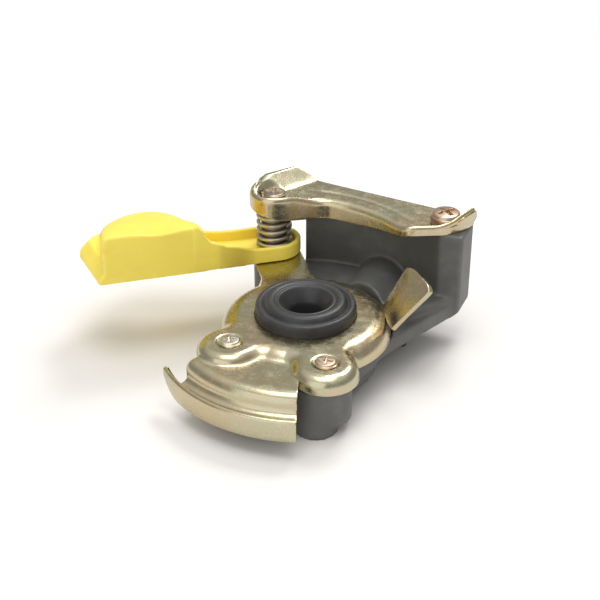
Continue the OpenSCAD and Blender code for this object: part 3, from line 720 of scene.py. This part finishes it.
def build_cover(settings, finishes):
    """The pressed cover as one welded sheet with its thickness, and the guide tab beside it.

    The lip runs on past the terrace's left end to a tip, where its wall's height shrinks on a sine."""
    s, count = Sizes(settings.cover), 561
    rest = np.linspace(LIP_TO, LIP_FROM + 2 * np.pi, count)
    ear = math.atan2(PIVOT[1], PIVOT[0])
    weight = 1 + 2.5 * near_angle(rest, ear, math.radians(20), math.radians(30))
    run = np.concatenate([[0], np.cumsum((weight[1:] + weight[:-1]) / 2)])
    rest = np.interp(np.linspace(0, run[-1], count), run, rest)
    fore = np.linspace(LIP_FROM, LIP_TO, 141)
    top_rest, turn_rest = cover_top(rest, s)
    top_fore, turn_fore = cover_top(fore, s)
    front, flat_rows, lip_rows = cover_front(fore, s, turn_fore)
    corner, side = terrace_end(front, flat_rows, s)
    tip_angle = np.linspace(LIP_FROM - LIP_TIP, LIP_FROM, 27)
    taper = TIP_HEIGHT + (1 - TIP_HEIGHT) * np.sin(np.linspace(0, np.pi / 2, 27))
    lip = front[-lip_rows:, :1]
    lip_top = lip[0, 0, 2]
    tip = polar(np.hypot(lip[..., 0], lip[..., 1]), tip_angle, lip_top + (lip[..., 2] - lip_top) * taper)
    patches = [top_rest, top_fore, cover_side(rest, s, turn_rest), front, corner, side, tip]
    mesh = mesh_of("cover_pressing", [(p, False, False) for p in patches], upward=True)
    cover = place("cover_pressing", mesh, finishes["zinc"], "coupling", "zinc_plate", "cover_plate")
    add_wall(cover, s.sheet, 0.3)
    mesh = mesh_of("guide_tab", tab_patches(s))
    tab = place("guide_tab", mesh, finishes["zinc"], "coupling", "zinc_plate")
    soften(tab, 0.45, 40, 3)


def thick_sheet(points, thickness):
    """A grid of points and its copy moved against the grid's own normals, with the rims between them."""
    du, dv = np.gradient(points, axis=0), np.gradient(points, axis=1)
    other = points - unit(np.cross(du, dv)) * thickness
    rims = [np.stack([points[k], other[k]]) for k in (0, -1)]
    rims += [np.stack([points[:, k], other[:, k]]) for k in (0, -1)]
    return [(p, False, False) for p in (points, other, *rims)]


def tab_patches(s):
    """The guide tab: a sheet that leans out from the shoulder and widens to its tip.

    Its height falls with the fourth power of the distance from its middle, and its sides draw in a little
    near the tip. It bows inward by a parabola across and a sine up its height."""
    root_a, root_b = (np.array([*p, -TAB_DEPTH]) for p in TAB_ROOT)
    tip_a, tip_b = (np.array([*p, s.tab_rise]) for p in TAB_TIP)
    across = np.linspace(-1, 1, 49)[None, :, None]
    up = np.linspace(0, 1, 44)[:, None, None] * (1 - 0.08 * np.abs(across) ** 4)
    narrow = 1 - 0.06 * smooth_step(0.72, 1.0, up) ** 2
    a, b = root_a + (tip_a - root_a) * up, root_b + (tip_b - root_b) * up
    points = (a + b) / 2 + (b - a) / 2 * across * narrow
    bow = TAB_BOW * (1 - across ** 2) * np.sin(np.pi * np.clip(up * 0.8 + 0.1, 0, 1))
    points = points - TAB_LEAN * bow
    points[..., 2] += PLATE_Z
    return thick_sheet(points, -s.sheet)


# Bracket

# The arc's middle and radius, and the points that round off the edge's right end.
ARC_MIDDLE, ARC_R = np.array([-7.4, -5.7]), 48.7
RIGHT_END = ((26.4, 30.0), (33.6, 33.8), (40.6, 37.0), (44.0, 41.2), (46.2, 48.8))

# The back edge and the flange's depth by share of the way along the inner edge, from the left. The flange's
# last depth is the sheet's thickness.
BACK_AT = (0.0, 0.05, 0.16, 0.22, 0.3, 0.74, 0.9, 1.0)
BACK_EDGE = np.array([[-37.4, 44.6], [-35.6, 47.0], [-28.2, 57.4], [-22.8, 58.4],
                      [-17.0, 57.7], [30.0, 52.3], [40.0, 51.2], [45.0, 50.6]])
FLANGE_AT = (0.0, 0.04, 0.15, 0.22, 0.3, 0.5, 0.6, 0.69, 0.74)
FLANGE_DEPTH = (1.6, 2.2, 4.7, 6.4, 7.3, 7.1, 5.7, 3.9)

# A point of the left wing's hinge line, the way square to it, and the wing's slope.
HINGE_AT, HINGE_WAY, WING_SLOPE = (-23.0, 52.0), (-0.866, 0.5), 0.72

# Radii of the pocket round the bolt, and the distances from the edge over which the two rims fall.
POCKET, RIM_FALL, END_FALL = (4.4, 6.6), (0.8, 3.4), (0.9, 3.0)

# The groove's depth, its distance from the arc and its width.
GROOVE, GROOVE_AT, GROOVE_WIDE = 0.3, 7.0, 0.9


def bracket_edge(s):
    """Plan of the bracket's inner edge from the left: round the cup, over to the arc, along it and out.

    The cup and the arc are joined by a cubic that leaves each along its own tangent."""
    cup = PIVOT + s.cup_r * circle(np.radians(np.linspace(165, 296, 80)))
    arc = ARC_MIDDLE + ARC_R * circle(np.radians(np.linspace(90, 49.5, 80)))
    t = np.linspace(0, 1, 40)[1:-1, None]
    a, b = cup[-1], arc[0]
    reach = np.linalg.norm(b - a)
    ta, tb = (cup[-1] - cup[-2]), (arc[1] - arc[0])
    ta, tb = ta / np.linalg.norm(ta) * reach, tb / np.linalg.norm(tb) * reach
    link = ((2 * t**3 - 3 * t**2 + 1) * a + (t**3 - 2 * t**2 + t) * ta
            + (3 * t**2 - 2 * t**3) * b + (t**3 - t**2) * tb)
    corner = rounded(np.array([arc[-1], *RIGHT_END]), 0.3, 2)
    return np.concatenate([cup, link, arc, corner[1:]])


def bracket_lift(x, y, run, from_edge, s):
    """Height of the bracket's top above its flat middle.

    The left wing is a soft ramp past a slanting hinge line, with a pocket round the bolt. One rim stands in
    front of the bolt and one along the right end, both falling off from the edge by a cubic. A shallow
    groove follows the arc."""
    hinge = (x - HINGE_AT[0]) * HINGE_WAY[0] + (y - HINGE_AT[1]) * HINGE_WAY[1]
    pocket = smooth_step(*POCKET, np.hypot(x - PIVOT[0], y - PIVOT[1]))
    lift = WING_SLOPE * soft_ramp(hinge, 1.0) * pocket
    lift *= 0.6 + 0.4 * smooth_step(0.0, 0.09, run)
    rim = s.rim * smooth_step(-0.04, 0.06, run) * (1 - smooth_step(0.24, 0.36, run))
    lift = np.maximum(lift, rim * (1 - smooth_step(*RIM_FALL, from_edge)))
    turned = 1.5 * smooth_step(0.69, 0.76, run) + 3.3 * smooth_step(0.82, 0.95, run)
    lift += turned * (1 - smooth_step(*END_FALL, from_edge))
    from_arc = np.hypot(x - ARC_MIDDLE[0], y - ARC_MIDDLE[1]) - ARC_R
    along = smooth_step(-20, -10, x) * (1 - smooth_step(24, 32, x))
    lift -= GROOVE * np.exp(-((from_arc - GROOVE_AT) / GROOVE_WIDE) ** 2) * along
    return np.minimum(lift, s.wing)


def build_bracket(settings, finishes):
    """The claw bracket: from the flange's lower edge, up, round the bend and over the top to the back edge.

    The flange's foot keeps its level where the top lifts, so the flange grows by the lift at its edge."""
    s, count = Sizes(settings.bracket), 260
    edge = resample(bracket_edge(s), count)
    run = np.linspace(0, 1, count)
    back = np.stack([np.interp(run, BACK_AT, BACK_EDGE[:, k]) for k in (0, 1)], -1)
    inward = inward_of(edge)
    bend = s.bend * smooth_step(-0.06, 0.06, run) * (1 - 0.45 * smooth_step(0.64, 0.74, run))
    bend = np.maximum(bend, 0.05)
    depth = np.interp(run, FLANGE_AT, [*FLANGE_DEPTH, s.sheet])
    q = np.linspace(0, np.pi / 2, 9)[:, None]
    rise = np.linspace(0, 1, 8)[:-1, None]
    plan = [np.broadcast_to(edge, (7, *edge.shape)), edge + (bend * (1 - np.cos(q)))[..., None] * inward]
    start = edge + bend[:, None] * inward
    g = np.linspace(0, 1, 44)[1:, None]
    plan = np.concatenate(plan + [start + (back - start) * g[..., None]])
    x, y = plan[..., 0], plan[..., 1]
    from_edge = np.hypot(x - edge[:, 0], y - edge[:, 1])
    lift = bracket_lift(x, y, run, from_edge, s)
    reach = np.maximum(depth + lift[0], bend + 0.05)
    low = np.concatenate([-reach + (reach - bend) * rise, -bend * (1 - np.sin(q)), np.zeros((43, count))])
    points = np.concatenate([plan, (CLAW_Z + lift + low)[..., None]], -1)
    mesh = mesh_of("claw_pressing", [(points, False, False)], upward=True)
    bracket = place("claw_pressing", mesh, finishes["zinc"], "coupling", "zinc_plate", "claw_bracket")
    add_wall(bracket, s.sheet, 0.5)


# Casting and seal

def build_casting(finishes):
    """The casting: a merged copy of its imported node, remeshed finely and smoothed so its edges are round."""
    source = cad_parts["body_casting"]
    mesh = source.data.copy()
    mesh.name = "coupling_casting"
    mesh.materials.clear()
    finish_mesh(mesh)
    work = linked("casting_work", mesh)
    voxels = work.modifiers.new("voxels", "REMESH")
    voxels.mode, voxels.voxel_size = "VOXEL", 0.62 * MM
    smooth = work.modifiers.new("smooth", "SMOOTH")
    smooth.factor, smooth.iterations = 0.5, 7
    bpy.context.view_layer.update()
    done = bpy.data.meshes.new_from_object(work.evaluated_get(bpy.context.evaluated_depsgraph_get()))
    bpy.data.objects.remove(work)
    done.name = "coupling_casting"
    done.materials.clear()
    done.polygons.foreach_set("use_smooth", np.ones(len(done.polygons), bool))
    place("coupling_casting", done, finishes["casting"], "coupling", "casting", "body_casting")


def build_seal(finishes):
    """The face seal: its section turned round the axis, with a shoulder, groove, lip ring and funnel."""
    section = np.array([
        [6.0, -5.0], [20.3, -5.0], [20.3, -2.0], [18.1, -2.0], [18.1, 2.6], [17.6, 4.3], [15.9, 4.5],
        [15.2, 3.7], [14.6, 4.9], [13.6, 5.95], [11.6, 6.0], [10.6, 5.2], [9.9, 5.5], [9.2, 5.0], [7.0, 2.0],
        [6.0, 0.0], [6.0, -5.0]])
    section = section + np.array([0.0, PLATE_Z])
    section = np.concatenate([section[:4], rounded(section[3:-1], 0.27, 3)[1:], section[-1:]])
    mesh = mesh_of("face_seal", [(revolved(section, (0, 0), 160), False, True)])
    place("face_seal", mesh, finishes["rubber"], "coupling", "seal_rubber", "coupling_seal")


# Screws

def screw_patches(axis, seat, head_r, head_h, shank_r, length_mm, turn, recess):
    """A pan head as a height over radius and angle, then the head's side, its seat and the shank.

    The head is a flat dome that rounds into its side. Its recess is a cross whose walls slope over a short
    width and whose floor rises outward."""
    angle = full_turn(112)[None, :]
    share = np.linspace(0, 1, 46)[:, None]
    r = head_r * share
    dome = head_h * (1 - 0.16 * share**2) - 0.3 * head_h * smooth_step(0.78, 1.0, share) ** 2
    x, y = r * np.cos(angle - turn), r * np.sin(angle - turn)
    half, arm = 0.115 * head_r, 0.62 * head_r
    cross = [np.maximum(np.abs(a) - arm, np.abs(b) - half - 0.05 * (arm - np.abs(a)))
             for a, b in ((x, y), (y, x))]
    floor = recess * (1 - 0.55 * np.hypot(x, y) / arm).clip(0.25, 1)
    top = dome - floor * (1 - smooth_step(-0.22, 0.1, np.minimum(*cross)))
    side = np.array([[head_r, head_h * 0.30], [head_r * 0.995, 0.12], [head_r * 0.96, 0.0], [shank_r, 0.0],
                     [shank_r, -length_mm], [0.0, -length_mm]])
    rows = [polar(r, angle, top), polar(side[:, :1], angle, side[:, 1:])]
    points = np.concatenate(rows) + np.array([axis[0], axis[1], seat])
    return [(points, False, True)]


def build_screws(finishes):
    """The two cover screws, the bracket screw and the pivot bolt.

    Each row gives a name, node, finish, head radius and height, shank radius, turn, recess and sink."""
    rows = (("cover_screw_left", "plate_screw_left", "screw_grey", 3.8, 1.6, 2.0, 0.5, 1.2, 0.0),
            ("cover_screw_right", "plate_screw_right", "screw_gold", 3.8, 1.6, 2.0, 0.2, 1.2, 0.0),
            ("claw_screw", "bracket_screw", "screw_copper", 5.6, 3.6, 3.0, 0.9, 2.0, 0.0),
            ("pivot_screw", "pivot_bolt", "bolt_brown", 4.6, 1.6, 3.0, 0.35, 0.8, 0.5))
    for name, node_name, finish, head_r, head_h, shank_r, turn, recess, sink in rows:
        low, high = node_box(node_name)
        seat, axis = high[2] - head_h - sink, node_axis(node_name)
        patches = screw_patches(axis, seat, head_r, head_h, shank_r, seat - low[2], turn, recess)
        place(name, mesh_of(name, patches), finishes[finish], "coupling", "screw_zinc", node_name)


# Spring

def tube(path, radius, sides=14):
    """A round tube along a path, closed at both ends: rings square to it, each set by the upright axis."""
    along = unit(np.gradient(path, axis=0))
    side = unit(np.cross(along, [0.0, 0.0, 1.0]))
    up = np.cross(side, along)
    turn = full_turn(sides)[None, :, None]
    rings = path[:, None] + radius * (np.cos(turn) * side[:, None] + np.sin(turn) * up[:, None])
    ends = [np.broadcast_to(path[k], (1, sides, 3)) for k in (0, -1)]
    return np.concatenate([ends[0], rings, ends[1]])


def build_spring(settings, finishes):
    """The cap's spring: a helix whose climb eases to nothing toward both ends, so that they lie flat."""
    s, turns = Sizes(settings.spring), settings.spring.turns
    count = int(turns * 40)
    turn = np.linspace(0, turns, count)
    speed = smooth_step(0.15, 0.75, turn) * smooth_step(0.15, 0.75, turns - turn)
    climb = np.concatenate([[0], np.cumsum((speed[1:] + speed[:-1]) / 2)])
    mid_r = s.outer_r - s.wire / 2
    z = SPRING_LOW + s.wire / 2 + 0.05 + (CLAW_UNDER - SPRING_LOW - s.wire - 0.1) * climb / climb[-1]
    angle = 2 * np.pi * turn + 2.4
    path = np.stack([PIVOT[0] + mid_r * np.cos(angle), PIVOT[1] + mid_r * np.sin(angle), z], -1)
    mesh = mesh_of("return_spring", [(tube(path, s.wire / 2), False, True)])
    spring = place("return_spring", mesh, finishes["spring"], "coupling", "spring_steel", "cap_spring")
    free = (CLAW_UNDER - SPRING_LOW) * MM
    keep = (free - settings.spring.travel) / free
    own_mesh(spring)


# Dust cap

# The cap's turn at rest, the height of its rim and the point that its hood is drawn from.
CAP_TURN = math.radians(-141.4)
RIM_Z = 6.0
MOUTH = np.array([51.0, 4.0, 0.0])

# The middle and radius of the ledge's rounded far corner, the height of its edge and its climb.
LEDGE_U, LEDGE_V, LEDGE_R = 64.2, -2.5, 9.9
LEDGE_EDGE, LEDGE_CLIMB = 1.6, 1.05

# Where across the arm the section turns squarer, the tip rounds off, the roof dips and the end wall flares.
SQUARE_V, TIP_V, SAG_V, FLARE_V = 6.0, 5.0, 4.0, (5.0, 18.0)

# The exponent of the section's ellipse, and what the flat side and that side's outer end add to it.
ELLIPSE, SQUARE, SQUARER = 2.0, 5.0, 4.0

# The place of the roof's dip along the arm, from the dome's middle, and its width.
SAG_AT, SAG_WIDE = -2.5, 7.5

# Roundings of the end wall, the ledge's edge, the notch between ledge and dome and the near side's edge.
WALL_SOFT, LEDGE_SOFT, NOTCH_SOFT, SIDE_SOFT = 2.0, 0.8, 0.9, 1.2

# Ends of the arm's wall on the near and the far side, both inside the hood.
NEAR_END, FAR_END = 38.5, 37.5

# The near wall's top: start and slope of its climb, place, width and depth of its dip, and the stretch over
# which it runs into the hood with its rise there.
CLIMB_FROM, CLIMB_SLOPE = 9.0, 0.27
DIP_AT, DIP_WIDE, DIP = 23.5, 3.6, 0.8
HOOD_CLIMB, HOOD_RISE = (28.5, 34.5), 5.4


def cap_to_coupling(points):
    """Points of the cap, u along the arm, v across it and z from its underside, in the coupling's frame."""
    c, n = math.cos(CAP_TURN), math.sin(CAP_TURN)
    u, v, z = points[..., 0], points[..., 1], points[..., 2]
    return np.stack([PIVOT[0] + u * c - v * n, PIVOT[1] + u * n + v * c, CAP_Z + z], -1)


def near_side(u, s):
    """Plan of the near side: the arm's half width, swelling by a cubic into the hood's flat side."""
    return s.arm_r + (s.hood_half - s.arm_r) * smooth_step(10.0, 27.0, u)


def far_side(u, s):
    """Plan of the far side of the arm, swelling less and later."""
    return s.arm_r + (s.hood_half - s.arm_r) / 2 * smooth_step(13.0, 40.0, u)


def arm_foot(u, v, s):
    """Underside of the arm: flat at its pivot, rising to the rim's plane toward the hood."""
    swell = (np.abs(v) - s.arm_r) / (s.hood_half - s.arm_r)
    return RIM_Z * np.clip(np.maximum(swell, smooth_step(25.5, 31.5, np.hypot(u, v))), 0, 1)


def hood_field(u, v, w, s, inset=0.0):
    """Signed distance, roughly, to the hood, drawn in by an inset: a dome, a flat near side, a finger ledge.

    Along the arm the dome's section is a curve between an ellipse and a rectangle, whose exponent grows
    toward the near side, most at its outer end. Across the arm its height falls on a circle and its length
    on an ellipse toward the far tip, which a plane cuts off. The roof dips a little over the flat side. An
    end wall closes the dome before the ledge. The ledge climbs from the edge of a rounded plan to a level
    top and is in soft union with the dome. The near side leans by the draft."""
    side = smooth_step(SQUARE_V, s.hood_half, v)
    mid = (s.hood_from + s.hood_to - s.ledge) / 2
    tip = np.sqrt(np.maximum(1 - (np.minimum(v - TIP_V, 0) / (s.hood_half + TIP_V)) ** 2, 1e-4))
    run = np.maximum((mid - s.hood_from + s.bulge * (1 - side)) * tip - inset, 0.1)
    curve_v = s.roof_curve - s.hood_half
    fall = s.roof_r - np.sqrt(np.maximum(s.roof_r**2 - np.minimum(v - curve_v, 0) ** 2, 1.0))
    sag = s.sag * np.exp(-(((u - mid - SAG_AT) / SAG_WIDE) ** 2)) * smooth_step(SAG_V, s.hood_half, v)
    top = np.maximum(s.hood_h - fall - sag - inset, 0.1)
    bluff = ELLIPSE + side * (SQUARE + SQUARER * smooth_step(mid, mid + 8.0, u))
    section = ((np.abs(u - mid) / run) ** bluff + (w / top) ** bluff) ** (1 / bluff)
    dome = (section - 1) * np.minimum(run, top)
    end_wall = s.end_wall + s.end_flare * smooth_step(*FLARE_V, v)
    dome = soft_max(dome, u - end_wall + inset, WALL_SOFT)
    dome = np.maximum(dome, inset - v - s.hood_half)
    corner = np.hypot(np.maximum(u - LEDGE_U, 0), np.minimum(v - LEDGE_V, 0)) - LEDGE_R
    edge = s.hood_to - s.group.slant * v
    end = np.maximum((u - edge) * 0.987, corner) + inset
    slope = (w - np.minimum(LEDGE_EDGE - LEDGE_CLIMB * end, s.ledge_h)) * 0.69 + inset
    ledge = np.maximum(soft_max(end, slope, LEDGE_SOFT), mid + 9.0 - u)
    near = v - s.hood_half - s.draft * (1 - w / s.hood_h) + inset
    return soft_max(soft_min(dome, ledge, NOTCH_SOFT), near, SIDE_SOFT)


def hood_patches(s):
    """The hood's skin and its inner skin, found along rays from a point in its mouth, joined at the rim."""
    turn = full_turn(360)[None, :]
    lift = np.linspace(0, 1, 96)[:, None] ** 1.15 * (np.pi / 2)
    way = polar(np.cos(lift), turn, np.sin(lift))
    skins = []
    for inset in (0.0, s.wall):
        def field(d, inset=inset):
            p = MOUTH + way * d[..., None]
            return hood_field(p[..., 0], p[..., 1], p[..., 2], s, inset)
        reach = crossing(field, np.full(way.shape[:2], 1.0), np.full(way.shape[:2], 60.0))
        skins.append(cap_to_coupling(MOUTH + way * reach[..., None] + np.array([0, 0, RIM_Z])))
    rim = np.stack([skins[0][0], skins[1][0]])
    return [(p, False, True) for p in (*skins, rim)]


def arm_wall(s):
    """The arm's wall: a section with a round top carried along the arm's outline and round its pivot end.

    Its foot follows the underside of the arm. On the near side its top climbs steadily, dips a little and
    runs into the hood by a cubic, and its face leans with the hood's flat side."""
    near_u, far_u = np.linspace(NEAR_END, 0.0, 96), np.linspace(0.0, FAR_END, 90)
    near = np.stack([near_u, near_side(near_u, s)], -1)
    far = np.stack([far_u, -far_side(far_u, s)], -1)
    bow = np.linspace(np.pi / 2, 3 * np.pi / 2, 80)[1:-1]
    path = resample(np.concatenate([near, s.arm_r * circle(bow), far]), 320)
    inward, u, v = inward_of(path), path[:, 0], path[:, 1]
    is_near = v > 0
    hide = np.where(is_near, 0.6 * smooth_step(35.0, NEAR_END, u) - 0.06, 0.1 * smooth_step(30.5, 33.5, u))
    foot = arm_foot(u, v, s)
    climb = CLIMB_SLOPE * soft_ramp(u - CLIMB_FROM, 2.0) + HOOD_RISE * smooth_step(*HOOD_CLIMB, u)
    climb -= DIP * np.exp(-(((u - DIP_AT) / DIP_WIDE) ** 2))
    top = np.maximum(s.arm_h - 0.3 + (climb + foot) * is_near, foot + 2.0)
    top -= 5.0 * smooth_step(33.5, NEAR_END, u) * is_near
    q = np.linspace(0, np.pi / 2, 6)
    e, f = 0.9, 0.6
    over = s.wall - e + e * np.sin(q)
    inset = np.concatenate([[s.wall / 2], f - f * np.sin(q), e - e * np.cos(q), over, [s.wall]])
    is_top = np.concatenate([np.zeros(7), np.ones(12), [0.0]])
    offset = np.concatenate([[0.0], f - f * np.cos(q), -e + e * np.sin(q), -e + e * np.cos(q), [0.0]])
    z = np.where(is_top[:, None] > 0, top, foot) + offset[:, None]
    draft = s.draft * smooth_step(16.0, 30.0, u) * is_near * np.clip(1 - (z - RIM_Z) / s.hood_h, 0, 1)
    plan = path + (inset[:, None] + hide - draft)[..., None] * inward
    wall = np.concatenate([plan, z[..., None]], -1)
    ends = [np.broadcast_to(wall[:, k].mean(0), (len(wall), 1, 3)) for k in (0, -1)]
    return [(cap_to_coupling(np.concatenate([ends[0], wall, ends[1]], 1)), True, False)]


def arm_floor(s):
    """The arm's floor: a slab over the arm's underside, from the bore out to the middle of the wall."""
    turn = full_turn(240)

    def field(r):
        x, y = r * np.cos(turn), r * np.sin(turn)
        box = np.where(x > 0, np.maximum(y - near_side(x, s), -y - far_side(x, s)), r - s.arm_r)
        return np.maximum(box + s.wall / 2, x - 34.0)
    reach = crossing(field, np.full(240, s.bore_r), np.full(240, 45.0))
    r = s.bore_r + (reach - s.bore_r) * np.linspace(0, 1, 30)[:, None]
    flat = r[..., None] * circle(turn)
    rise = arm_foot(flat[..., 0], flat[..., 1], s)
    upper = np.concatenate([flat, (s.wall + rise)[..., None]], -1)
    lower = np.concatenate([flat, (0.02 + rise)[..., None]], -1)
    rims = [np.stack([upper[k], lower[k]]) for k in (0, -1)]
    return [(cap_to_coupling(p), False, True) for p in (upper, lower, *rims)]


def build_cap(settings, finishes):
    """The dust cap: the hood and the arm in one moulding."""
    s = Sizes(settings.cap)
    mesh = mesh_of("cap_moulding", hood_patches(s) + arm_wall(s) + arm_floor(s))
    place("cap_moulding", mesh, finishes["plastic"], "cap", "cap_plastic", "dust_cap")


# Stage

# Half the floor's width, the point that the lights aim at, and the camera's place and turn.
FLOOR_HALF = 30.0
LIGHT_AIM = (0.0, 0.005, 0.025)
CAMERA_AT = (0.150705, -0.367305, 0.259335)
CAMERA_TURN = (math.radians(60), 0.0, math.radians(22.6))


def build_floor(s):
    """A pale floor that takes the shadow and fades to white as the camera, gloss and glass see it."""
    corner = np.array([[-1, -1, 0], [1, -1, 0], [1, 1, 0], [-1, 1, 0]]) * FLOOR_HALF
    mesh = bpy.data.meshes.new("floor")
    mesh.from_pydata(corner.tolist(), [], [(0, 1, 2, 3)])
    floor = linked("floor", mesh)
    finish, shader, at = blank("pale_floor")
    tree = at.tree
    connect(shader, Base_Color=(*shade(s.floor), 1.0), Roughness=0.9, Specular_IOR_Level=0.0)
    away = node(tree, "ShaderNodeVectorMath", {"operation": "LENGTH"}, {0: at}, out="Value")
    far = band(away, 90.0, s.floor_r / MM)
    rays = ("Is Camera Ray", "Is Glossy Ray", "Is Transmission Ray")
    camera, gloss, glass = (node(tree, "ShaderNodeLightPath", out=ray) for ray in rays)
    shown = node(tree, "ShaderNodeMath", {"operation": "MINIMUM"}, {0: camera + gloss + glass, 1: 1.0})
    glow = node(tree, "ShaderNodeEmission", {}, {"Strength": 1.0})
    plain = Wire(tree, shader.outputs["BSDF"])
    blend = node(tree, "ShaderNodeMixShader", {}, {0: far * shown, 1: plain, 2: glow})
    output = next(n for n in tree.nodes if n.type == "OUTPUT_MATERIAL")
    tree.links.new(blend.socket, output.inputs["Surface"])
    mesh.materials.append(finish)


def build_surroundings(s, scene):
    """Even surroundings, grey low down and white overhead."""
    world = bpy.data.worlds.new("studio")
    world.use_nodes = True
    scene.world = world
    tree = world.node_tree
    way = node(tree, "ShaderNodeTexCoord", out="Generated")
    height = node(tree, "ShaderNodeSeparateXYZ", {}, {0: way}, out="Z")
    sky = mixed(band(height, 0.45, 0.9), shade(s.horizon), (1.0, 1.0, 1.0))
    connect(tree.nodes["Background"], Color=sky, Strength=s.sky)


def build_lights(s):
    """Three soft square lights, each with its power, width and place, aimed at the coupling's middle."""
    rows = (("key", s.key, 0.34, (0.05, 0.60, 0.80)), ("top", s.top, 0.45, (0.02, -0.08, 0.75)),
            ("fill", s.fill, 0.8, (-0.10, -0.78, 0.30)))
    for name, watts, width, at in rows:
        lamp = bpy.data.lights.new(name, "AREA")
        lamp.energy, lamp.size, lamp.shape = watts, width, "SQUARE"
        light = linked(name, lamp)
        light.location = at
        light.rotation_euler = (Vector(LIGHT_AIM) - Vector(at)).to_track_quat("-Z", "Y").to_euler()


def build_stage(settings):
    """Floor, surroundings, lights and the camera."""
    s, scene = settings.stage, bpy.context.scene
    build_floor(s)
    build_surroundings(s, scene)
    build_lights(s)
    lens = bpy.data.cameras.new("camera")
    lens.lens, lens.sensor_width, lens.clip_start = s.lens, 36.0, 0.01
    camera = linked("camera", lens)
    camera.location, camera.rotation_euler = CAMERA_AT, CAMERA_TURN
    scene.camera = camera
    scene.view_settings.view_transform = "Standard"


# Operators

FINISHES = {}


def make_finishes(colours):
    """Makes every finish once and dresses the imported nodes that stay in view."""
    bright = colours.plating_worn
    FINISHES.update(
        zinc=zinc_finish(colours), casting=casting_finish(colours), rubber=rubber_finish(colours),
        plastic=plastic_finish(colours),
        screw_copper=screw_finish("copper_screw", colours.copper, colours.screw_grey, bright),
        screw_grey=screw_finish("grey_screw", colours.screw_grey, colours.zinc_pale, bright),
        screw_gold=screw_finish("gold_screw", colours.screw_grey, colours.copper, bright),
        bolt_brown=screw_finish("brown_bolt", colours.bolt, colours.bolt_light, bright),
        steel=steel_finish("turned_steel", colours.steel, (1.0, 1.0, 6.0)),
        spring=steel_finish("spring_wire", colours.spring, (1.0, 1.0, 5.0)))
    for name in ("pivot_sleeve", "spring_washer", "bracket_lock_washer", "pivot_lock_washer"):
        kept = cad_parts[name].data
        kept.materials.clear()
        kept.materials.append(FINISHES["steel"])


class COUPLING_OT_finishes(bpy.types.Operator):
    """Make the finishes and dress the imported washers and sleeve"""

    bl_idname, bl_label = "coupling.finishes", "Finishes"

    def execute(self, context):
        make_finishes(context.scene.coupling.finish)
        return {"FINISHED"}


class COUPLING_OT_cover(bpy.types.Operator):
    """Build the pressed cover and its guide tab"""

    bl_idname, bl_label = "coupling.cover", "Cover pressing"

    def execute(self, context):
        build_cover(context.scene.coupling, FINISHES)
        return {"FINISHED"}


class COUPLING_OT_bracket(bpy.types.Operator):
    """Build the claw bracket"""

    bl_idname, bl_label = "coupling.bracket", "Claw bracket"

    def execute(self, context):
        build_bracket(context.scene.coupling, FINISHES)
        return {"FINISHED"}


class COUPLING_OT_casting(bpy.types.Operator):
    """Build the casting and the face seal"""

    bl_idname, bl_label = "coupling.casting", "Casting and seal"

    def execute(self, context):
        build_casting(FINISHES)
        build_seal(FINISHES)
        return {"FINISHED"}


class COUPLING_OT_screws(bpy.types.Operator):
    """Build the four screws"""

    bl_idname, bl_label = "coupling.screws", "Screws"

    def execute(self, context):
        build_screws(FINISHES)
        return {"FINISHED"}


class COUPLING_OT_spring(bpy.types.Operator):
    """Build the cap's spring"""

    bl_idname, bl_label = "coupling.spring", "Spring"

    def execute(self, context):
        build_spring(context.scene.coupling, FINISHES)
        return {"FINISHED"}


class COUPLING_OT_cap(bpy.types.Operator):
    """Build the dust cap"""

    bl_idname, bl_label = "coupling.cap", "Dust cap"

    def execute(self, context):
        build_cap(context.scene.coupling, FINISHES)
        return {"FINISHED"}


class COUPLING_OT_stage(bpy.types.Operator):
    """Set up the floor, the lights and the camera"""

    bl_idname, bl_label = "coupling.stage", "Stage"

    def execute(self, context):
        build_stage(context.scene.coupling)
        return {"FINISHED"}


STEPS = (COUPLING_OT_stage, COUPLING_OT_finishes, COUPLING_OT_casting, COUPLING_OT_cover,
         COUPLING_OT_bracket, COUPLING_OT_screws, COUPLING_OT_spring, COUPLING_OT_cap)


class COUPLING_PT_panel(bpy.types.Panel):
    """Lists the coupling's settings and the operators that build its pieces"""

    bl_idname, bl_label = "COUPLING_PT_panel", "Palm coupling"
    bl_space_type, bl_region_type, bl_category = "VIEW_3D", "UI", "Coupling"

    def draw(self, context):
        settings = context.scene.coupling
        for part in ("cover", "bracket", "cap", "spring", "finish", "stage"):
            group = getattr(settings, part)
            box = self.layout.box()
            box.label(text=part.capitalize())
            for key in group.__annotations__:
                box.prop(group, key)
        for step in STEPS:
            self.layout.operator(step.bl_idname)


CLASSES = (CoverSizes, BracketSizes, CapSizes, SpringSizes, Finishes, StageSettings, CouplingSettings,
           *STEPS, COUPLING_PT_panel)


def register():
    for cls in CLASSES:
        bpy.utils.register_class(cls)
    bpy.types.Scene.coupling = PointerProperty(type=CouplingSettings)


def unregister():
    del bpy.types.Scene.coupling
    for cls in reversed(CLASSES):
        bpy.utils.unregister_class(cls)


def main():
    """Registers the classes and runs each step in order."""
    register()
    for step in STEPS:
        area, name = step.bl_idname.split(".")
        getattr(getattr(bpy.ops, area), name)()
    bpy.context.view_layer.update()
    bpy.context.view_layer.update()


if __name__ == "__main__":
    main()
